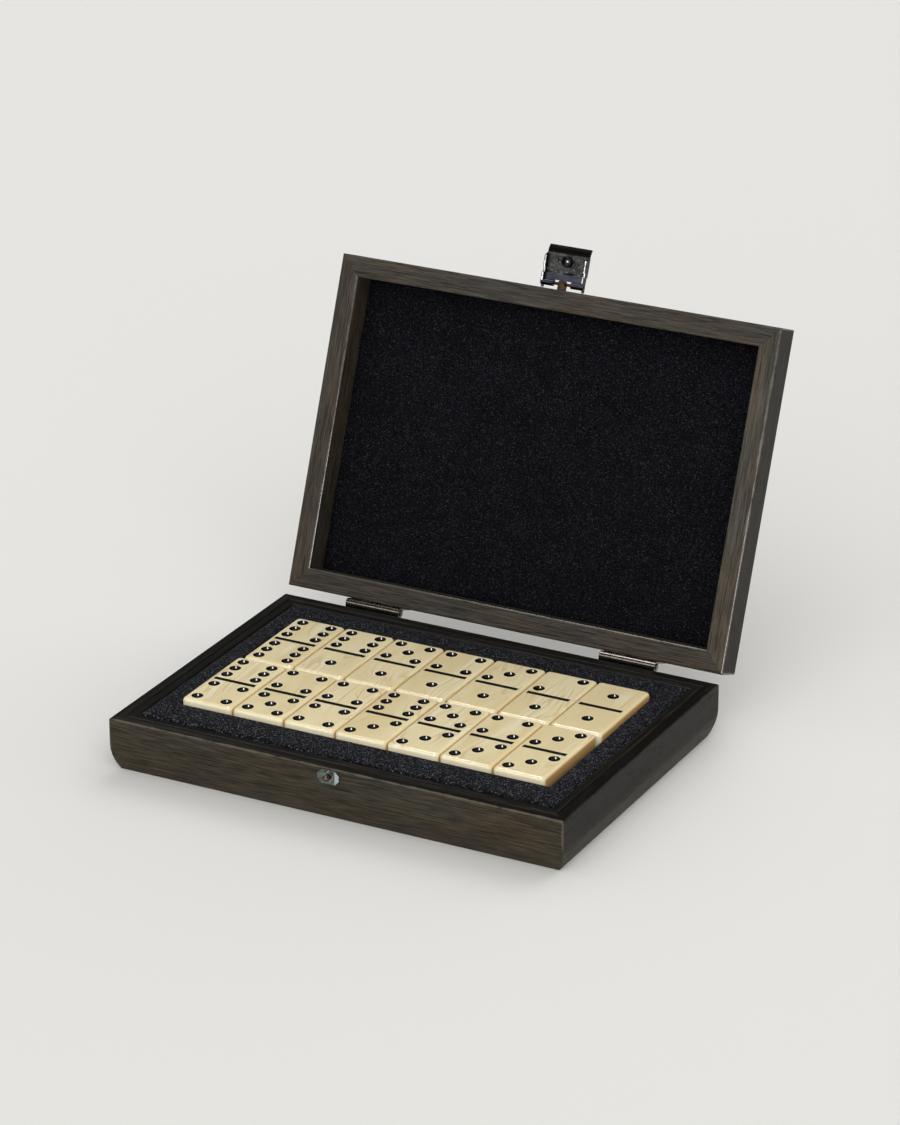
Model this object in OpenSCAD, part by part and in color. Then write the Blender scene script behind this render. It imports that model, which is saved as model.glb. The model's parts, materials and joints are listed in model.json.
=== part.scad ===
// Domino storage box: a shallow mitred wooden case with a velvet bed for a full
// double six set in two layers, a hinged lid that leans back on its stops, and a
// flap latch on the lid that snaps over a stud on the front of the case.
// Millimetres, +Z up, +Y towards the hinges, origin at the middle of the underside.
// The lid is modelled open and the latch flap raised, as the box stands in use.

/* [Dominoes] */
// Width of one domino
tile_w = 23.8; // [21:0.1:26]
// Length of one domino
tile_l = 47.4; // [42:0.1:52]
// Thickness of one domino
tile_t = 9.5; // [8:0.1:11]
// Radius of a domino's corners seen from above
tile_corner_r = 2.2; // [1.6:0.1:3]
// Radius of a domino's long and short edges
tile_edge_r = 1.7; // [0.8:0.1:1.8]
// Gap between neighbouring dominoes
tile_gap = 0.2; // [0.1:0.05:0.4]
// Height of the gap under each domino
stack_gap = 0.1; // [0.05:0.05:0.2]
// How far the back row sits to the right of the front row
row_shift = 1.9; // [0:0.1:3]
// Diameter of a pip at the face
pip_d = 5; // [4:0.1:5.4]
// Depth of a pip
pip_depth = 0.9; // [0.6:0.1:1.2]
// Distance from the middle column of pips to an outer one
pip_step_x = 6.9; // [6:0.1:7.5]
// Distance from the middle row of pips to an outer one
pip_step_y = 6.8; // [6:0.1:7]
// Distance from the dividing line to the middle of each half
half_centre = 12.1; // [11:0.1:12.5]
// Length of the dividing line
line_l = 19.5; // [16:0.1:20]
// Width of the dividing line at the face
line_w = 1.8; // [1.4:0.1:2.2]
// Depth of the dividing line
line_depth = 0.6; // [0.4:0.05:0.65]

/* [Base] */
// Width of the wooden rim
rail_w = 9.2; // [8.5:0.1:12]
// Velvet showing between the rim and the dominoes at each end
border_x = 9.6; // [7:0.1:16]
// Velvet showing between the rim and the dominoes at front and back
border_y = 16.3; // [10:0.1:24]
// How far the dominoes stand above the rim
tile_proud = 2.9; // [2:0.1:4.5]
// How far the velvet swells above the rim
velvet_rise = 0.5; // [0:0.1:0.7]
// Clearance between the dominoes and their pocket
pocket_clear = 0.35; // [0.3:0.05:0.8]
// Corner radius of the pocket
pocket_corner_r = 1.5; // [1:0.1:2]
// Chamfer round the mouth of the pocket
pocket_chamfer = 0.8; // [0.4:0.1:1.2]
// Rounding of the outer edge of the velvet bed
velvet_edge_r = 1.8; // [1.2:0.1:2.2]
// Clearance round the velvet bed
bed_clear = 0.15; // [0.1:0.05:0.3]
// Thickness of the bottom panel
panel_t = 3.5; // [2.5:0.1:4.5]
// How far the panels reach into their rebates
panel_rebate = 2.4; // [1.5:0.1:3]
// Thickness of the pad under the dominoes
pad_t = 3.6; // [2:0.1:6]
// Width of the liner strip let into the rim
liner_w = 4; // [3:0.1:4.5]
// Height of the liner strip
liner_h = 8; // [6:0.1:9]
// Depth below the rim where the outside starts to curve in
flank_straight = 11; // [10.9:0.1:13]
// Radius of the curved flank
flank_r = 25; // [16:0.5:40]
// Worn bevel on the outer edge of the rim
rim_bevel = 0.5; // [0.2:0.1:0.8]
// Fine bevel on the other edges of the rim
fine_bevel = 0.3; // [0.1:0.05:0.4]

/* [Lid] */
// Outside height of the lid
lid_h = 17.3; // [16:0.1:22]
// Width of the lid's wooden rim
lid_rail_w = 9; // [8:0.1:10]
// Rounding of the lid's outer top edges
lid_round_r = 4; // [2:0.1:4.2]
// Thickness of the lid panel
lid_panel_t = 3.5; // [2.5:0.1:4.5]
// Thickness of the velvet board in the lid
lid_velvet_t = 1.6; // [1:0.1:2.5]
// Angle that the lid opens to from closed
lid_open_angle = 111; // [95:1:120]
// Gap between the two rims when closed
rim_gap = 0.2; // [0.1:0.05:0.4]

/* [Hinges] */
// Length of each hinge
hinge_len = 26; // [20:0.5:34]
// Distance from the end of the box to the middle of a hinge
hinge_from_end = 43; // [30:0.5:70]
// Distance from the back face to the hinge pin
hinge_offset = 2.3; // [2.2:0.05:3]
// Height of the hinge pin above the rim of the base
hinge_lift = 0.7; // [0.5:0.05:0.9]
// Outside radius of the knuckles
barrel_r = 2.1; // [1.8:0.05:2.1]
// Radius of the hinge pin
hinge_pin_r = 0.9; // [0.7:0.05:1.1]
// Running clearance round the hinge pin
hinge_fit = 0.05; // [0.02:0.01:0.08]
// Gap between two knuckles
knuckle_gap = 0.15; // [0.1:0.05:0.3]
// Thickness of a hinge leaf
leaf_t = 1; // [0.8:0.05:1.1]
// Height of a hinge leaf
leaf_h = 8.3; // [7:0.1:8.6]
// Distance from the hinge pin to the edge of a leaf
leaf_clear = 1.9; // [1.85:0.05:2.1]
// How far the stop lug reaches from the hinge pin
stop_reach = 3.1; // [2.8:0.1:3.6]
// Gap between the stop lug and the leaf it meets
stop_gap = 0.15; // [0.1:0.05:0.3]
// Distance between the two screws of a leaf
leaf_screw_step = 16; // [12:0.5:18]
// Head radius of the small screws
screw_head_r = 1.6; // [1.3:0.05:1.8]
// Shank radius of the small screws
screw_r = 0.8; // [0.6:0.05:1]
// Length of the small screws
screw_l = 4.8; // [4:0.1:5]

/* [Latch] */
// How far the latch and the stud sit to the right of the middle
latch_x = -0.8; // [-3:0.1:3]
// Width of the latch flap
flap_w = 20; // [18:0.1:26]
// Distance from the latch pin to the tip of the flap
flap_l = 16.4; // [16:0.1:19]
// Thickness of the sheet metal
sheet_t = 0.8; // [0.6:0.05:0.8]
// Height of the latch pin above the rim of the lid
latch_lift = 6; // [5.5:0.1:7]
// Distance from the front face to the latch pin
latch_offset = 2.6; // [2.4:0.05:3]
// Radius of the latch pin
latch_pin_r = 0.65; // [0.5:0.05:0.7]
// Outside radius of the rolled ends of the flap and of the knuckle
ear_r = 1.4; // [1.3:0.05:1.5]
// Width of the middle knuckle
knuckle_w = 3.2; // [2.6:0.1:4]
// Width of the gap in the flap round the knuckle
flap_gap_w = 8.4; // [6:0.1:10]
// Distance from the latch pin to the bend in the flap
bend_at = 4.2; // [3.5:0.1:4.6]
// How far the bend steps outwards
bend_step = 0.8; // [0.6:0.05:1]
// How far the sides of the flap reach past the latch pin towards the lid
flange_reach = 1.3; // [0.8:0.1:1.6]
// Inside radius of the finger lip
lip_r = 5; // [4:0.1:5.5]
// Angle that the finger lip turns through
lip_turn = 40; // [30:1:45]
// Angle that the flap is raised to from closed
flap_open_angle = 90; // [60:1:90]

/* [Stud and socket] */
// Distance from the rim of the base down to the stud
stud_drop = 3.6; // [3.6:0.1:4.2]
// Radius of the stud's ball
ball_r = 1.2; // [1.1:0.05:1.3]
// Radius of the ring round the foot of the stud
stud_boss_r = 2.7; // [2.2:0.1:2.9]
// Clearance between the ball and the socket
snap_clear = 0.45; // [0.35:0.05:0.6]
// Wall of the socket
socket_wall = 0.75; // [0.5:0.05:1]
// Height of the socket
socket_h = 2.3; // [2:0.1:2.4]
// Width of the strike plate
strike_w = 9.8; // [9:0.1:13]
// Height of the strike plate
strike_h = 6.2; // [5.6:0.1:6.2]
// Clipped corner of the strike plate
strike_clip = 1.9; // [1.2:0.1:2.4]
// Thickness of the strike plate
strike_t = 0.9; // [0.7:0.05:1]

/* [Hidden] */
$fn = 96;
// A hair of extra length on a cutting tool, so that it passes right through
cut = 1;
columns = 7;

// The dominoes as [dots in the back half, dots in the front half], left to right
top_back = [[6, 6], [6, 1], [5, 1], [4, 1], [3, 1], [2, 1], [1, 1]];
top_front = [[6, 4], [4, 5], [4, 4], [6, 3], [5, 3], [4, 3], [3, 3]];
low_back = [[0, 0], [0, 1], [0, 2], [0, 3], [0, 4], [0, 5], [0, 6]];
low_front = [[2, 2], [2, 3], [2, 4], [2, 5], [2, 6], [5, 5], [5, 6]];
tiles = concat(low_back, low_front, top_back, top_front);
function tile_name(t) = str("domino_", t[0], "_", t[1]);

// Dominoes, pocket and the box that follows from them
pitch_x = tile_w + tile_gap;
pitch_y = tile_l + tile_gap;
pocket_w = columns * tile_w + (columns - 1) * tile_gap + row_shift + 2 * pocket_clear;
pocket_d = 2 * tile_l + tile_gap + 2 * pocket_clear;
box_w = pocket_w + 2 * border_x + 2 * rail_w;
box_d = pocket_d + 2 * border_y + 2 * rail_w;
floor_z = panel_t + pad_t;
base_h = floor_z + 2 * (tile_t + stack_gap) - tile_proud;
velvet_z = base_h + velvet_rise;
pip_ball_r = (pow(pip_d / 2, 2) + pow(pip_depth, 2)) / (2 * pip_depth);
line_r = (pow(line_w / 2, 2) + pow(line_depth, 2)) / (2 * line_depth);
flank_z = base_h - flank_straight;

// Lid, hinge and latch positions with the box closed
lid_z = base_h + rim_gap;
back_y = box_d / 2;
front_y = -box_d / 2;
hinge_y = back_y + hinge_offset;
hinge_z = base_h + hinge_lift;
hinge_x = box_w / 2 - hinge_from_end;
knuckle_l = (hinge_len - 4 * knuckle_gap) / 5;
pilot_r = screw_r + 0.05;
// Height of a countersunk head, cut at 45 degrees
head_h = screw_head_r - screw_r;
latch_y = front_y - latch_offset;
latch_z = lid_z + latch_lift;
stud_z = base_h - stud_drop;
// The socket faces the stud when the latch is closed
socket_at = latch_z - stud_z;
socket_bore_r = ball_r + snap_clear;
socket_r = socket_bore_r + socket_wall;
// Outward distance from the latch pin to the two levels of the flap
flap_near = ear_r - sheet_t;
flap_far = flap_near + bend_step;
lip_centre = flap_l - (lip_r + sheet_t) * sin(lip_turn);
rivet_r = 1.1;
// The heel that stops the raised flap against the bracket
heel = latch_offset - 0.2;
// The bracket, let into the lid flush with its face, and how far it reaches
// above the latch pin
bracket_w = flap_w - 0.4;
bracket_h = 8.4;
bracket_up = 4;
bracket_fit = 0.05;
bracket_screw_x = bracket_w / 2 - 4;
// The stud: its shank in the wood, its ring and neck, and how far out its ball is
stud_shank_r = 0.9;
stud_root = 4;
stud_boss_h = 0.4;
stud_neck_r = 0.85;
socket_floor_t = 0.2;
ball_at = latch_offset + flap_far - socket_floor_t - 0.25 - ball_r;

// Shared shapes

module rounded_rect(w, d, r) {
    square([w - 2 * r, d], center = true);
    square([w, d - 2 * r], center = true);
    for (sx = [-1, 1], sy = [-1, 1])
        translate([sx * (w / 2 - r), sy * (d / 2 - r)])
            circle(r = r);
}

// Runs a profile along X: its first axis becomes Y and its second becomes Z
module along_x(length) {
    translate([-length / 2, 0, 0])
        rotate([90, 0, 90])
            linear_extrude(length)
                children();
}

// A strip of one side of the box, mitred at both ends. The profile's first axis
// runs inwards from the outer face. Sides count from the front, anticlockwise.
module mitred_strip(side, width, height, inset = 0) {
    span = (side % 2 == 0 ? box_w : box_d) - 2 * inset;
    reach = (side % 2 == 0 ? box_d : box_w) / 2 - inset;
    rotate([0, 0, 90 * side])
        intersection() {
            translate([0, -reach, 0])
                along_x(span)
                    children();
            linear_extrude(height)
                polygon([[-span / 2, -reach], [span / 2, -reach],
                    [span / 2 - width, width - reach], [width - span / 2, width - reach]]);
        }
}

// Triangle that bevels a profile's corner at the origin
module bevel(size) {
    polygon([[-size, 0], [0, -size], [size, 0], [0, size]]);
}

// Turns what is drawn closed to where the open lid holds it
module with_lid_open() {
    translate([0, hinge_y, hinge_z])
        rotate([-lid_open_angle, 0, 0])
            translate([0, -hinge_y, -hinge_z])
                children();
}

// Turns what is drawn closed to where the raised flap holds it
module with_flap_raised() {
    with_lid_open()
        translate([0, latch_y, latch_z])
            rotate([-flap_open_angle, 0, 0])
                translate([0, -latch_y, -latch_z])
                    children();
}

// Countersunk wood screw along Z, its head flush with the origin
module screw() {
    rotate_extrude()
        polygon([[0, 0], [screw_head_r, 0], [screw_r, -head_h],
            [screw_r, screw_r - screw_l], [0, -screw_l]]);
}

// The room that a screw takes in the metal and in the wood
module screw_hole() {
    translate([0, 0, -screw_l - 0.2])
        cylinder(r = pilot_r, h = screw_l + 0.2 + cut);
    rotate_extrude()
        polygon([[0, cut], [screw_head_r + 0.05 + cut, cut],
            [pilot_r, -head_h], [0, -head_h]]);
}

// Base

module base_profile() {
    difference() {
        intersection() {
            square([rail_w, base_h]);
            union() {
                translate([0, flank_z])
                    square([rail_w, flank_straight]);
                translate([flank_r, flank_z])
                    circle(r = flank_r, $fn = 240);
            }
        }
        translate([rail_w - liner_w, base_h - liner_h])
            square([liner_w + cut, liner_h + cut]);
        translate([rail_w - panel_rebate, -cut])
            square([panel_rebate + cut, panel_t + cut]);
        translate([0, base_h])
            bevel(rim_bevel);
        translate([rail_w - liner_w, base_h])
            bevel(fine_bevel);
    }
}

module base_rail(side) {
    color("#3a322c")
        mitred_strip(side, rail_w, base_h)
            base_profile();
}

module base_front_rail() {
    difference() {
        base_rail(0);
        strike_at()
            translate([0, 0, -stud_root - 0.2])
                cylinder(r = stud_shank_r + 0.05, h = stud_root + cut);
    }
}

module base_right_rail() {
    base_rail(1);
}

module base_back_rail() {
    difference() {
        base_rail(2);
        base_leaf_screws()
            screw_hole();
    }
}

module base_left_rail() {
    base_rail(3);
}

module base_liner(side) {
    color("#463c34")
        mitred_strip(side, liner_w, base_h, rail_w - liner_w)
            translate([0, base_h - liner_h])
                difference() {
                    square([liner_w, liner_h]);
                    translate([0, liner_h])
                        bevel(fine_bevel);
                    translate([liner_w, liner_h])
                        bevel(rim_bevel);
                }
}

module base_front_liner() {
    base_liner(0);
}

module base_right_liner() {
    base_liner(1);
}

module base_back_liner() {
    base_liner(2);
}

module base_left_liner() {
    base_liner(3);
}

module base_bottom_panel() {
    inset = 2 * (rail_w - panel_rebate);
    color("#2e2823")
        linear_extrude(panel_t)
            square([box_w - inset, box_d - inset], center = true);
}

// Velvet over a board, with an open pocket for the dominoes
module base_velvet_bed() {
    bed_w = box_w - 2 * (rail_w + bed_clear);
    bed_d = box_d - 2 * (rail_w + bed_clear);
    bed_h = velvet_z - panel_t;
    color("#14151f")
        translate([0, 0, panel_t])
            difference() {
                intersection() {
                    along_x(bed_w)
                        bed_profile(bed_d, bed_h);
                    rotate([0, 0, 90])
                        along_x(bed_d)
                            bed_profile(bed_w, bed_h);
                }
                translate([0, 0, -cut])
                    linear_extrude(bed_h + 2 * cut)
                        rounded_rect(pocket_w, pocket_d, pocket_corner_r);
                along_x(pocket_w)
                    mouth_profile(pocket_d, bed_h);
                rotate([0, 0, 90])
                    along_x(pocket_d)
                        mouth_profile(pocket_w, bed_h);
            }
}

// Section through the velvet bed, rounded at its upper edges
module bed_profile(width, height) {
    translate([-width / 2, 0])
        square([width, height - velvet_edge_r]);
    translate([velvet_edge_r - width / 2, 0])
        square([width - 2 * velvet_edge_r, height]);
    for (s = [-1, 1])
        translate([s * (width / 2 - velvet_edge_r), height - velvet_edge_r])
            circle(r = velvet_edge_r);
}

// Section of the chamfer round the pocket's mouth
module mouth_profile(width, height) {
    polygon([[-width / 2, height - pocket_chamfer],
        [-width / 2 - pocket_chamfer - cut, height + cut],
        [width / 2 + pocket_chamfer + cut, height + cut],
        [width / 2, height - pocket_chamfer]]);
}

module base_pocket_pad() {
    color("#171823")
        translate([0, 0, panel_t])
            linear_extrude(pad_t)
                rounded_rect(pocket_w - 2 * bed_clear, pocket_d - 2 * bed_clear,
                    pocket_corner_r);
}

// Hinges

// The places of the leaf screws, the same distance from the pin on both leaves
module leaf_screws(up) {
    for (side = [-1, 1], s = [-1, 1])
        translate([side * hinge_x + s * leaf_screw_step / 2, back_y + leaf_t,
            hinge_z + up * (leaf_clear + leaf_h / 2)])
            rotate([-90, 0, 0])
                children();
}

module base_leaf_screws() {
    leaf_screws(-1)
        children();
}

module lid_leaf_screws() {
    leaf_screws(1)
        children();
}

// One knuckle with the neck that joins it to its leaf, above or below the pin
module knuckle(index, up) {
    neck = hinge_offset - barrel_r;
    translate([index * (knuckle_l + knuckle_gap) - hinge_len / 2, 0, hinge_z]) {
        translate([0, hinge_y, 0])
            rotate([0, 90, 0])
                cylinder(r = barrel_r, h = knuckle_l);
        translate([0, back_y + neck, up > 0 ? 0 : -leaf_clear - 0.5])
            cube([knuckle_l, leaf_t - neck, leaf_clear + 0.5]);
    }
}

module leaf_plate(up) {
    translate([0, back_y, hinge_z + up * (leaf_clear + leaf_h / 2)])
        rotate([90, 0, 0])
            mirror([0, 0, 1])
                linear_extrude(leaf_t)
                    rounded_rect(hinge_len, leaf_h, 0.5);
}

module hinge_bore(clearance) {
    translate([-hinge_len / 2 - cut, hinge_y, hinge_z])
        rotate([0, 90, 0])
            cylinder(r = hinge_pin_r + clearance, h = hinge_len + 2 * cut);
}

module base_leaf(side) {
    color("#8a6d3b")
        difference() {
            translate([side * hinge_x, 0, 0])
                difference() {
                    union() {
                        leaf_plate(-1);
                        for (k = [0, 2, 4])
                            knuckle(k, -1);
                    }
                    hinge_bore(hinge_fit / 2);
                }
            base_leaf_screws()
                screw_hole();
        }
}

// The lid's leaf, with a lug on each knuckle that stops the lid against the
// leaf of the base
module lid_leaf(side) {
    lug_y = back_y + leaf_t + stop_gap;
    lug_t = hinge_y - lug_y - 0.2;
    color("#8a6d3b")
        difference() {
            union() {
                with_lid_open()
                    difference() {
                        translate([side * hinge_x, 0, 0]) {
                            leaf_plate(1);
                            for (k = [1, 3])
                                knuckle(k, 1);
                        }
                        lid_leaf_screws()
                            screw_hole();
                    }
                for (k = [1, 3])
                    translate([side * hinge_x - hinge_len / 2 + k * (knuckle_l + knuckle_gap),
                        lug_y, hinge_z - stop_reach])
                        cube([knuckle_l, lug_t, stop_reach - hinge_pin_r - 0.3]);
            }
            translate([side * hinge_x, 0, 0])
                hinge_bore(hinge_fit);
        }
}

// Pin with a low rivet head at each end
module hinge_pin(side) {
    head_r = hinge_pin_r + 0.5;
    head_l = 0.5;
    color("#b08d4f")
        translate([side * hinge_x - hinge_len / 2, hinge_y, hinge_z])
            rotate([0, 90, 0])
                rotate_extrude()
                    polygon([[0, -head_l], [hinge_pin_r, -head_l], [head_r, -head_l / 2],
                        [head_r, 0], [hinge_pin_r, 0], [hinge_pin_r, hinge_len],
                        [head_r, hinge_len], [head_r, hinge_len + head_l / 2],
                        [hinge_pin_r, hinge_len + head_l], [0, hinge_len + head_l]]);
}

module left_hinge_base_leaf() {
    base_leaf(-1);
}

module right_hinge_base_leaf() {
    base_leaf(1);
}

module left_hinge_pin() {
    hinge_pin(-1);
}

module right_hinge_pin() {
    hinge_pin(1);
}

module base_hinge_screws() {
    color("#b08d4f")
        base_leaf_screws()
            screw();
}

module left_hinge_lid_leaf() {
    lid_leaf(-1);
}

module right_hinge_lid_leaf() {
    lid_leaf(1);
}

module lid_hinge_screws() {
    color("#b08d4f")
        with_lid_open()
            lid_leaf_screws()
                screw();
}

// Strike on the front of the base

// The stud's axis, pointing out of the front face
module strike_at() {
    translate([latch_x, front_y, stud_z])
        rotate([90, 0, 0])
            children();
}

module strike_plate() {
    w = strike_w / 2;
    h = strike_h / 2;
    c = strike_clip;
    color("#b9bcc0")
        strike_at()
            linear_extrude(strike_t)
                difference() {
                    polygon([[c - w, -h], [w - c, -h], [w, c - h], [w, h - c],
                        [w - c, h], [c - w, h], [-w, h - c], [-w, c - h]]);
                    circle(r = stud_shank_r + 0.05);
                }
}

module strike_stud() {
    color("#8c7a6b")
        strike_at() {
            translate([0, 0, -stud_root])
                cylinder(r = stud_shank_r, h = stud_root + strike_t);
            translate([0, 0, strike_t])
                cylinder(r = stud_boss_r, h = stud_boss_h);
            translate([0, 0, strike_t])
                cylinder(r = stud_neck_r, h = ball_at - strike_t);
            translate([0, 0, ball_at])
                sphere(r = ball_r);
        }
}

// Lid

module lid_profile() {
    difference() {
        union() {
            square([lid_rail_w, lid_h - lid_round_r]);
            translate([lid_round_r, 0])
                square([lid_rail_w - lid_round_r, lid_h]);
            translate([lid_round_r, lid_h - lid_round_r])
                circle(r = lid_round_r);
        }
        translate([lid_rail_w - panel_rebate, lid_h - lid_panel_t])
            square([panel_rebate + cut, lid_panel_t + cut]);
        bevel(rim_bevel);
        translate([lid_rail_w, 0])
            bevel(rim_bevel);
    }
}

module lid_rail(side) {
    color("#3a322c")
        translate([0, 0, lid_z])
            mitred_strip(side, lid_rail_w, lid_h)
                lid_profile();
}

module lid_front_rail() {
    with_lid_open()
        difference() {
            lid_rail(0);
            bracket_plate(bracket_fit, cut);
            bracket_screws()
                screw_hole();
        }
}

module lid_right_rail() {
    with_lid_open()
        lid_rail(1);
}

module lid_back_rail() {
    with_lid_open()
        difference() {
            lid_rail(2);
            lid_leaf_screws()
                screw_hole();
        }
}

module lid_left_rail() {
    with_lid_open()
        lid_rail(3);
}

module lid_panel() {
    inset = 2 * (lid_rail_w - panel_rebate);
    color("#332b26")
        with_lid_open()
            translate([0, 0, lid_z + lid_h - lid_panel_t])
                linear_extrude(lid_panel_t)
                    square([box_w - inset, box_d - inset], center = true);
}

module lid_velvet_board() {
    inset = 2 * (lid_rail_w + bed_clear);
    color("#14151f")
        with_lid_open()
            translate([0, 0, lid_z + lid_h - lid_panel_t - lid_velvet_t])
                linear_extrude(lid_velvet_t)
                    square([box_w - inset, box_d - inset], center = true);
}

// Latch

// The latch pin's own axis, with the profile's first axis pointing into the lid
module latch_axis() {
    translate([latch_x, latch_y, latch_z])
        children();
}

module bracket_screws() {
    for (s = [-1, 1])
        translate([latch_x + s * bracket_screw_x, front_y, latch_z + 1])
            rotate([90, 0, 0])
                children();
}

// The bracket's plate, or with some room and extra depth the pocket that it sits in
module bracket_plate(room = 0, extra = 0) {
    translate([latch_x, front_y + sheet_t, latch_z + bracket_up - bracket_h / 2])
        rotate([90, 0, 0])
            linear_extrude(sheet_t + extra)
                rounded_rect(bracket_w + 2 * room, bracket_h + 2 * room, 1 + room);
}

// Plate let into the lid's front face, with the knuckle that carries the pin
module latch_bracket() {
    color("#6b5432")
        with_lid_open()
            difference() {
                union() {
                    bracket_plate();
                    latch_axis()
                        along_x(knuckle_w) {
                            circle(r = ear_r);
                            translate([0, -ear_r])
                                square([latch_offset + sheet_t, 2 * ear_r]);
                        }
                }
                latch_axis()
                    along_x(knuckle_w + 2 * cut)
                        circle(r = latch_pin_r + hinge_fit);
                bracket_screws()
                    screw_hole();
            }
}

module latch_screws() {
    color("#4a4a4e")
        with_lid_open()
            bracket_screws()
                screw();
}

module latch_pin() {
    color("#8a6a3c")
        with_lid_open()
            latch_axis()
                along_x(flap_w + 0.4)
                    circle(r = latch_pin_r);
}

// Section through the flap's face: an end rolled round the pin, two levels
// joined by a bend, then the finger lip
module flap_profile() {
    lip_o = flap_far + sheet_t + lip_r;
    far_side = 4 * lip_r;
    rise = 0.8;
    circle(r = ear_r);
    polygon([[-flap_near, 0], [-flap_near, -bend_at], [-flap_far, -bend_at - rise],
        [-flap_far, -lip_centre], [-flap_far - sheet_t, -lip_centre],
        [-flap_far - sheet_t, -bend_at - rise + 0.3], [-flap_near - sheet_t, -bend_at + 0.3],
        [-flap_near - sheet_t, 0]]);
    translate([-lip_o, -lip_centre])
        intersection() {
            difference() {
                circle(r = lip_r + sheet_t);
                circle(r = lip_r);
            }
            polygon([[0, 0], [far_side, 0], [far_side, -far_side * tan(lip_turn / 2)],
                [far_side * cos(lip_turn), -far_side * sin(lip_turn)]]);
        }
}

// Section of the flap's turned side: an end rolled round the pin with a square heel,
// and a flange that is notched past the bend and slopes back to the lip
module flange_profile() {
    notch_l = 1.9;
    notch_depth = 1.1;
    slope_l = 1.4;
    upper_reach = flange_reach - 0.3;
    circle(r = ear_r);
    translate([-ear_r, 0])
        square([ear_r, heel]);
    polygon([[-ear_r, 0], [flange_reach, 0], [flange_reach, -bend_at],
        [flange_reach - notch_depth, -bend_at], [flange_reach - notch_depth, -bend_at - notch_l],
        [upper_reach, -bend_at - notch_l], [upper_reach, slope_l - lip_centre],
        [-flap_far, -lip_centre], [-flap_far - sheet_t, -lip_centre],
        [-flap_far - sheet_t, -bend_at - 0.5], [-ear_r, -bend_at + 0.3]]);
}

// A shallow bowed groove stamped into the inner face of the flap
module flap_mark() {
    mark_at = 4.4;
    mark_l = 4.4;
    mark_w = 0.6;
    mark_depth = 0.3;
    bow_r = 5;
    translate([-mark_at, -flap_far - mark_depth, -socket_at])
        rotate([-90, 0, 0])
            linear_extrude(mark_depth + cut)
                intersection() {
                    translate([bow_r, 0])
                        difference() {
                            circle(r = bow_r + mark_w / 2);
                            circle(r = bow_r - mark_w / 2);
                        }
                    square([bow_r, mark_l], center = true);
                }
}

module latch_flap() {
    color("#2c2d31")
        with_flap_raised()
            latch_axis()
                difference() {
                    union() {
                        along_x(flap_w - 0.2)
                            flap_profile();
                        for (s = [-1, 1])
                            translate([s * (flap_w - sheet_t) / 2, 0, 0])
                                along_x(sheet_t)
                                    flange_profile();
                    }
                    along_x(flap_w + 2 * cut)
                        circle(r = latch_pin_r + hinge_fit);
                    along_x(flap_gap_w)
                        translate([-2 * ear_r, -ear_r])
                            square([4 * ear_r, 3 * ear_r]);
                    flap_mark();
                    translate([0, 0, -socket_at])
                        rotate([90, 0, 0])
                            cylinder(r = rivet_r + 0.05, h = flap_l, center = true);
                }
}

// Socket riveted through the flap, open towards the stud
module latch_socket() {
    head_r = 1.9;
    head_t = 0.5;
    back = -sheet_t - head_t;
    color("#55565a")
        with_flap_raised()
            latch_axis()
                translate([0, -flap_far, -socket_at])
                    rotate([-90, 0, 0])
                        rotate_extrude()
                            polygon([[0, back], [rivet_r, back], [head_r, back + head_t / 2],
                                [head_r, -sheet_t], [rivet_r, -sheet_t], [rivet_r, 0],
                                [socket_r, 0], [socket_r, socket_h - 0.4],
                                [socket_r - 0.4, socket_h], [socket_bore_r + 0.2, socket_h],
                                [socket_bore_r, socket_h - 0.2], [socket_bore_r, socket_floor_t],
                                [0, socket_floor_t]]);
}

// Dominoes

function pip_spots(n) = concat(
    n % 2 == 1 ? [[0, 0]] : [],
    n >= 2 ? [[-1, -1], [1, 1]] : [],
    n >= 4 ? [[-1, 1], [1, -1]] : [],
    n == 6 ? [[-1, 0], [1, 0]] : []);

module domino_blank() {
    translate([0, 0, tile_t / 2])
        intersection() {
            linear_extrude(tile_t, center = true)
                rounded_rect(tile_w, tile_l, tile_corner_r);
            along_x(tile_w)
                rounded_rect(tile_l, tile_t, tile_edge_r);
            rotate([0, 0, 90])
                along_x(tile_l)
                    rounded_rect(tile_w, tile_t, tile_edge_r);
        }
}

module domino(index) {
    dots = tiles[index];
    layer = floor(index / (2 * columns));
    front = floor(index / columns) % 2;
    x = (index % columns - (columns - 1) / 2) * pitch_x + (front == 1 ? -1 : 1) * row_shift / 2;
    y = (front == 1 ? -1 : 1) * pitch_y / 2;
    z = floor_z + stack_gap + layer * (tile_t + stack_gap);
    color("#efe6cf")
        translate([x, y, z])
            difference() {
                domino_blank();
                translate([0, 0, tile_t + line_r - line_depth])
                    rotate([0, 90, 0])
                        cylinder(r = line_r, h = line_l, center = true);
                for (half = [0, 1], spot = pip_spots(dots[half]))
                    translate([spot[0] * pip_step_x,
                        spot[1] * pip_step_y + (half == 0 ? 1 : -1) * half_centre,
                        tile_t + pip_ball_r - pip_depth])
                        sphere(r = pip_ball_r);
            }
}

base_front_rail();
base_right_rail();
base_back_rail();
base_left_rail();
base_front_liner();
base_right_liner();
base_back_liner();
base_left_liner();
base_bottom_panel();
base_velvet_bed();
base_pocket_pad();
left_hinge_base_leaf();
right_hinge_base_leaf();
left_hinge_pin();
right_hinge_pin();
base_hinge_screws();
strike_plate();
strike_stud();
lid_front_rail();
lid_right_rail();
lid_back_rail();
lid_left_rail();
lid_panel();
lid_velvet_board();
left_hinge_lid_leaf();
right_hinge_lid_leaf();
lid_hinge_screws();
latch_bracket();
latch_screws();
latch_pin();
latch_flap();
latch_socket();
for (i = [0 : len(tiles) - 1])
    domino(i);
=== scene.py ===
"""The looks of a domino storage box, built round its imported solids.

Veneered rails, velvet, pearl resin dominoes and small metal fittings. Metres, +Z up,
the origin at the middle of the underside, the hinges at the back along +Y.
"""

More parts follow.
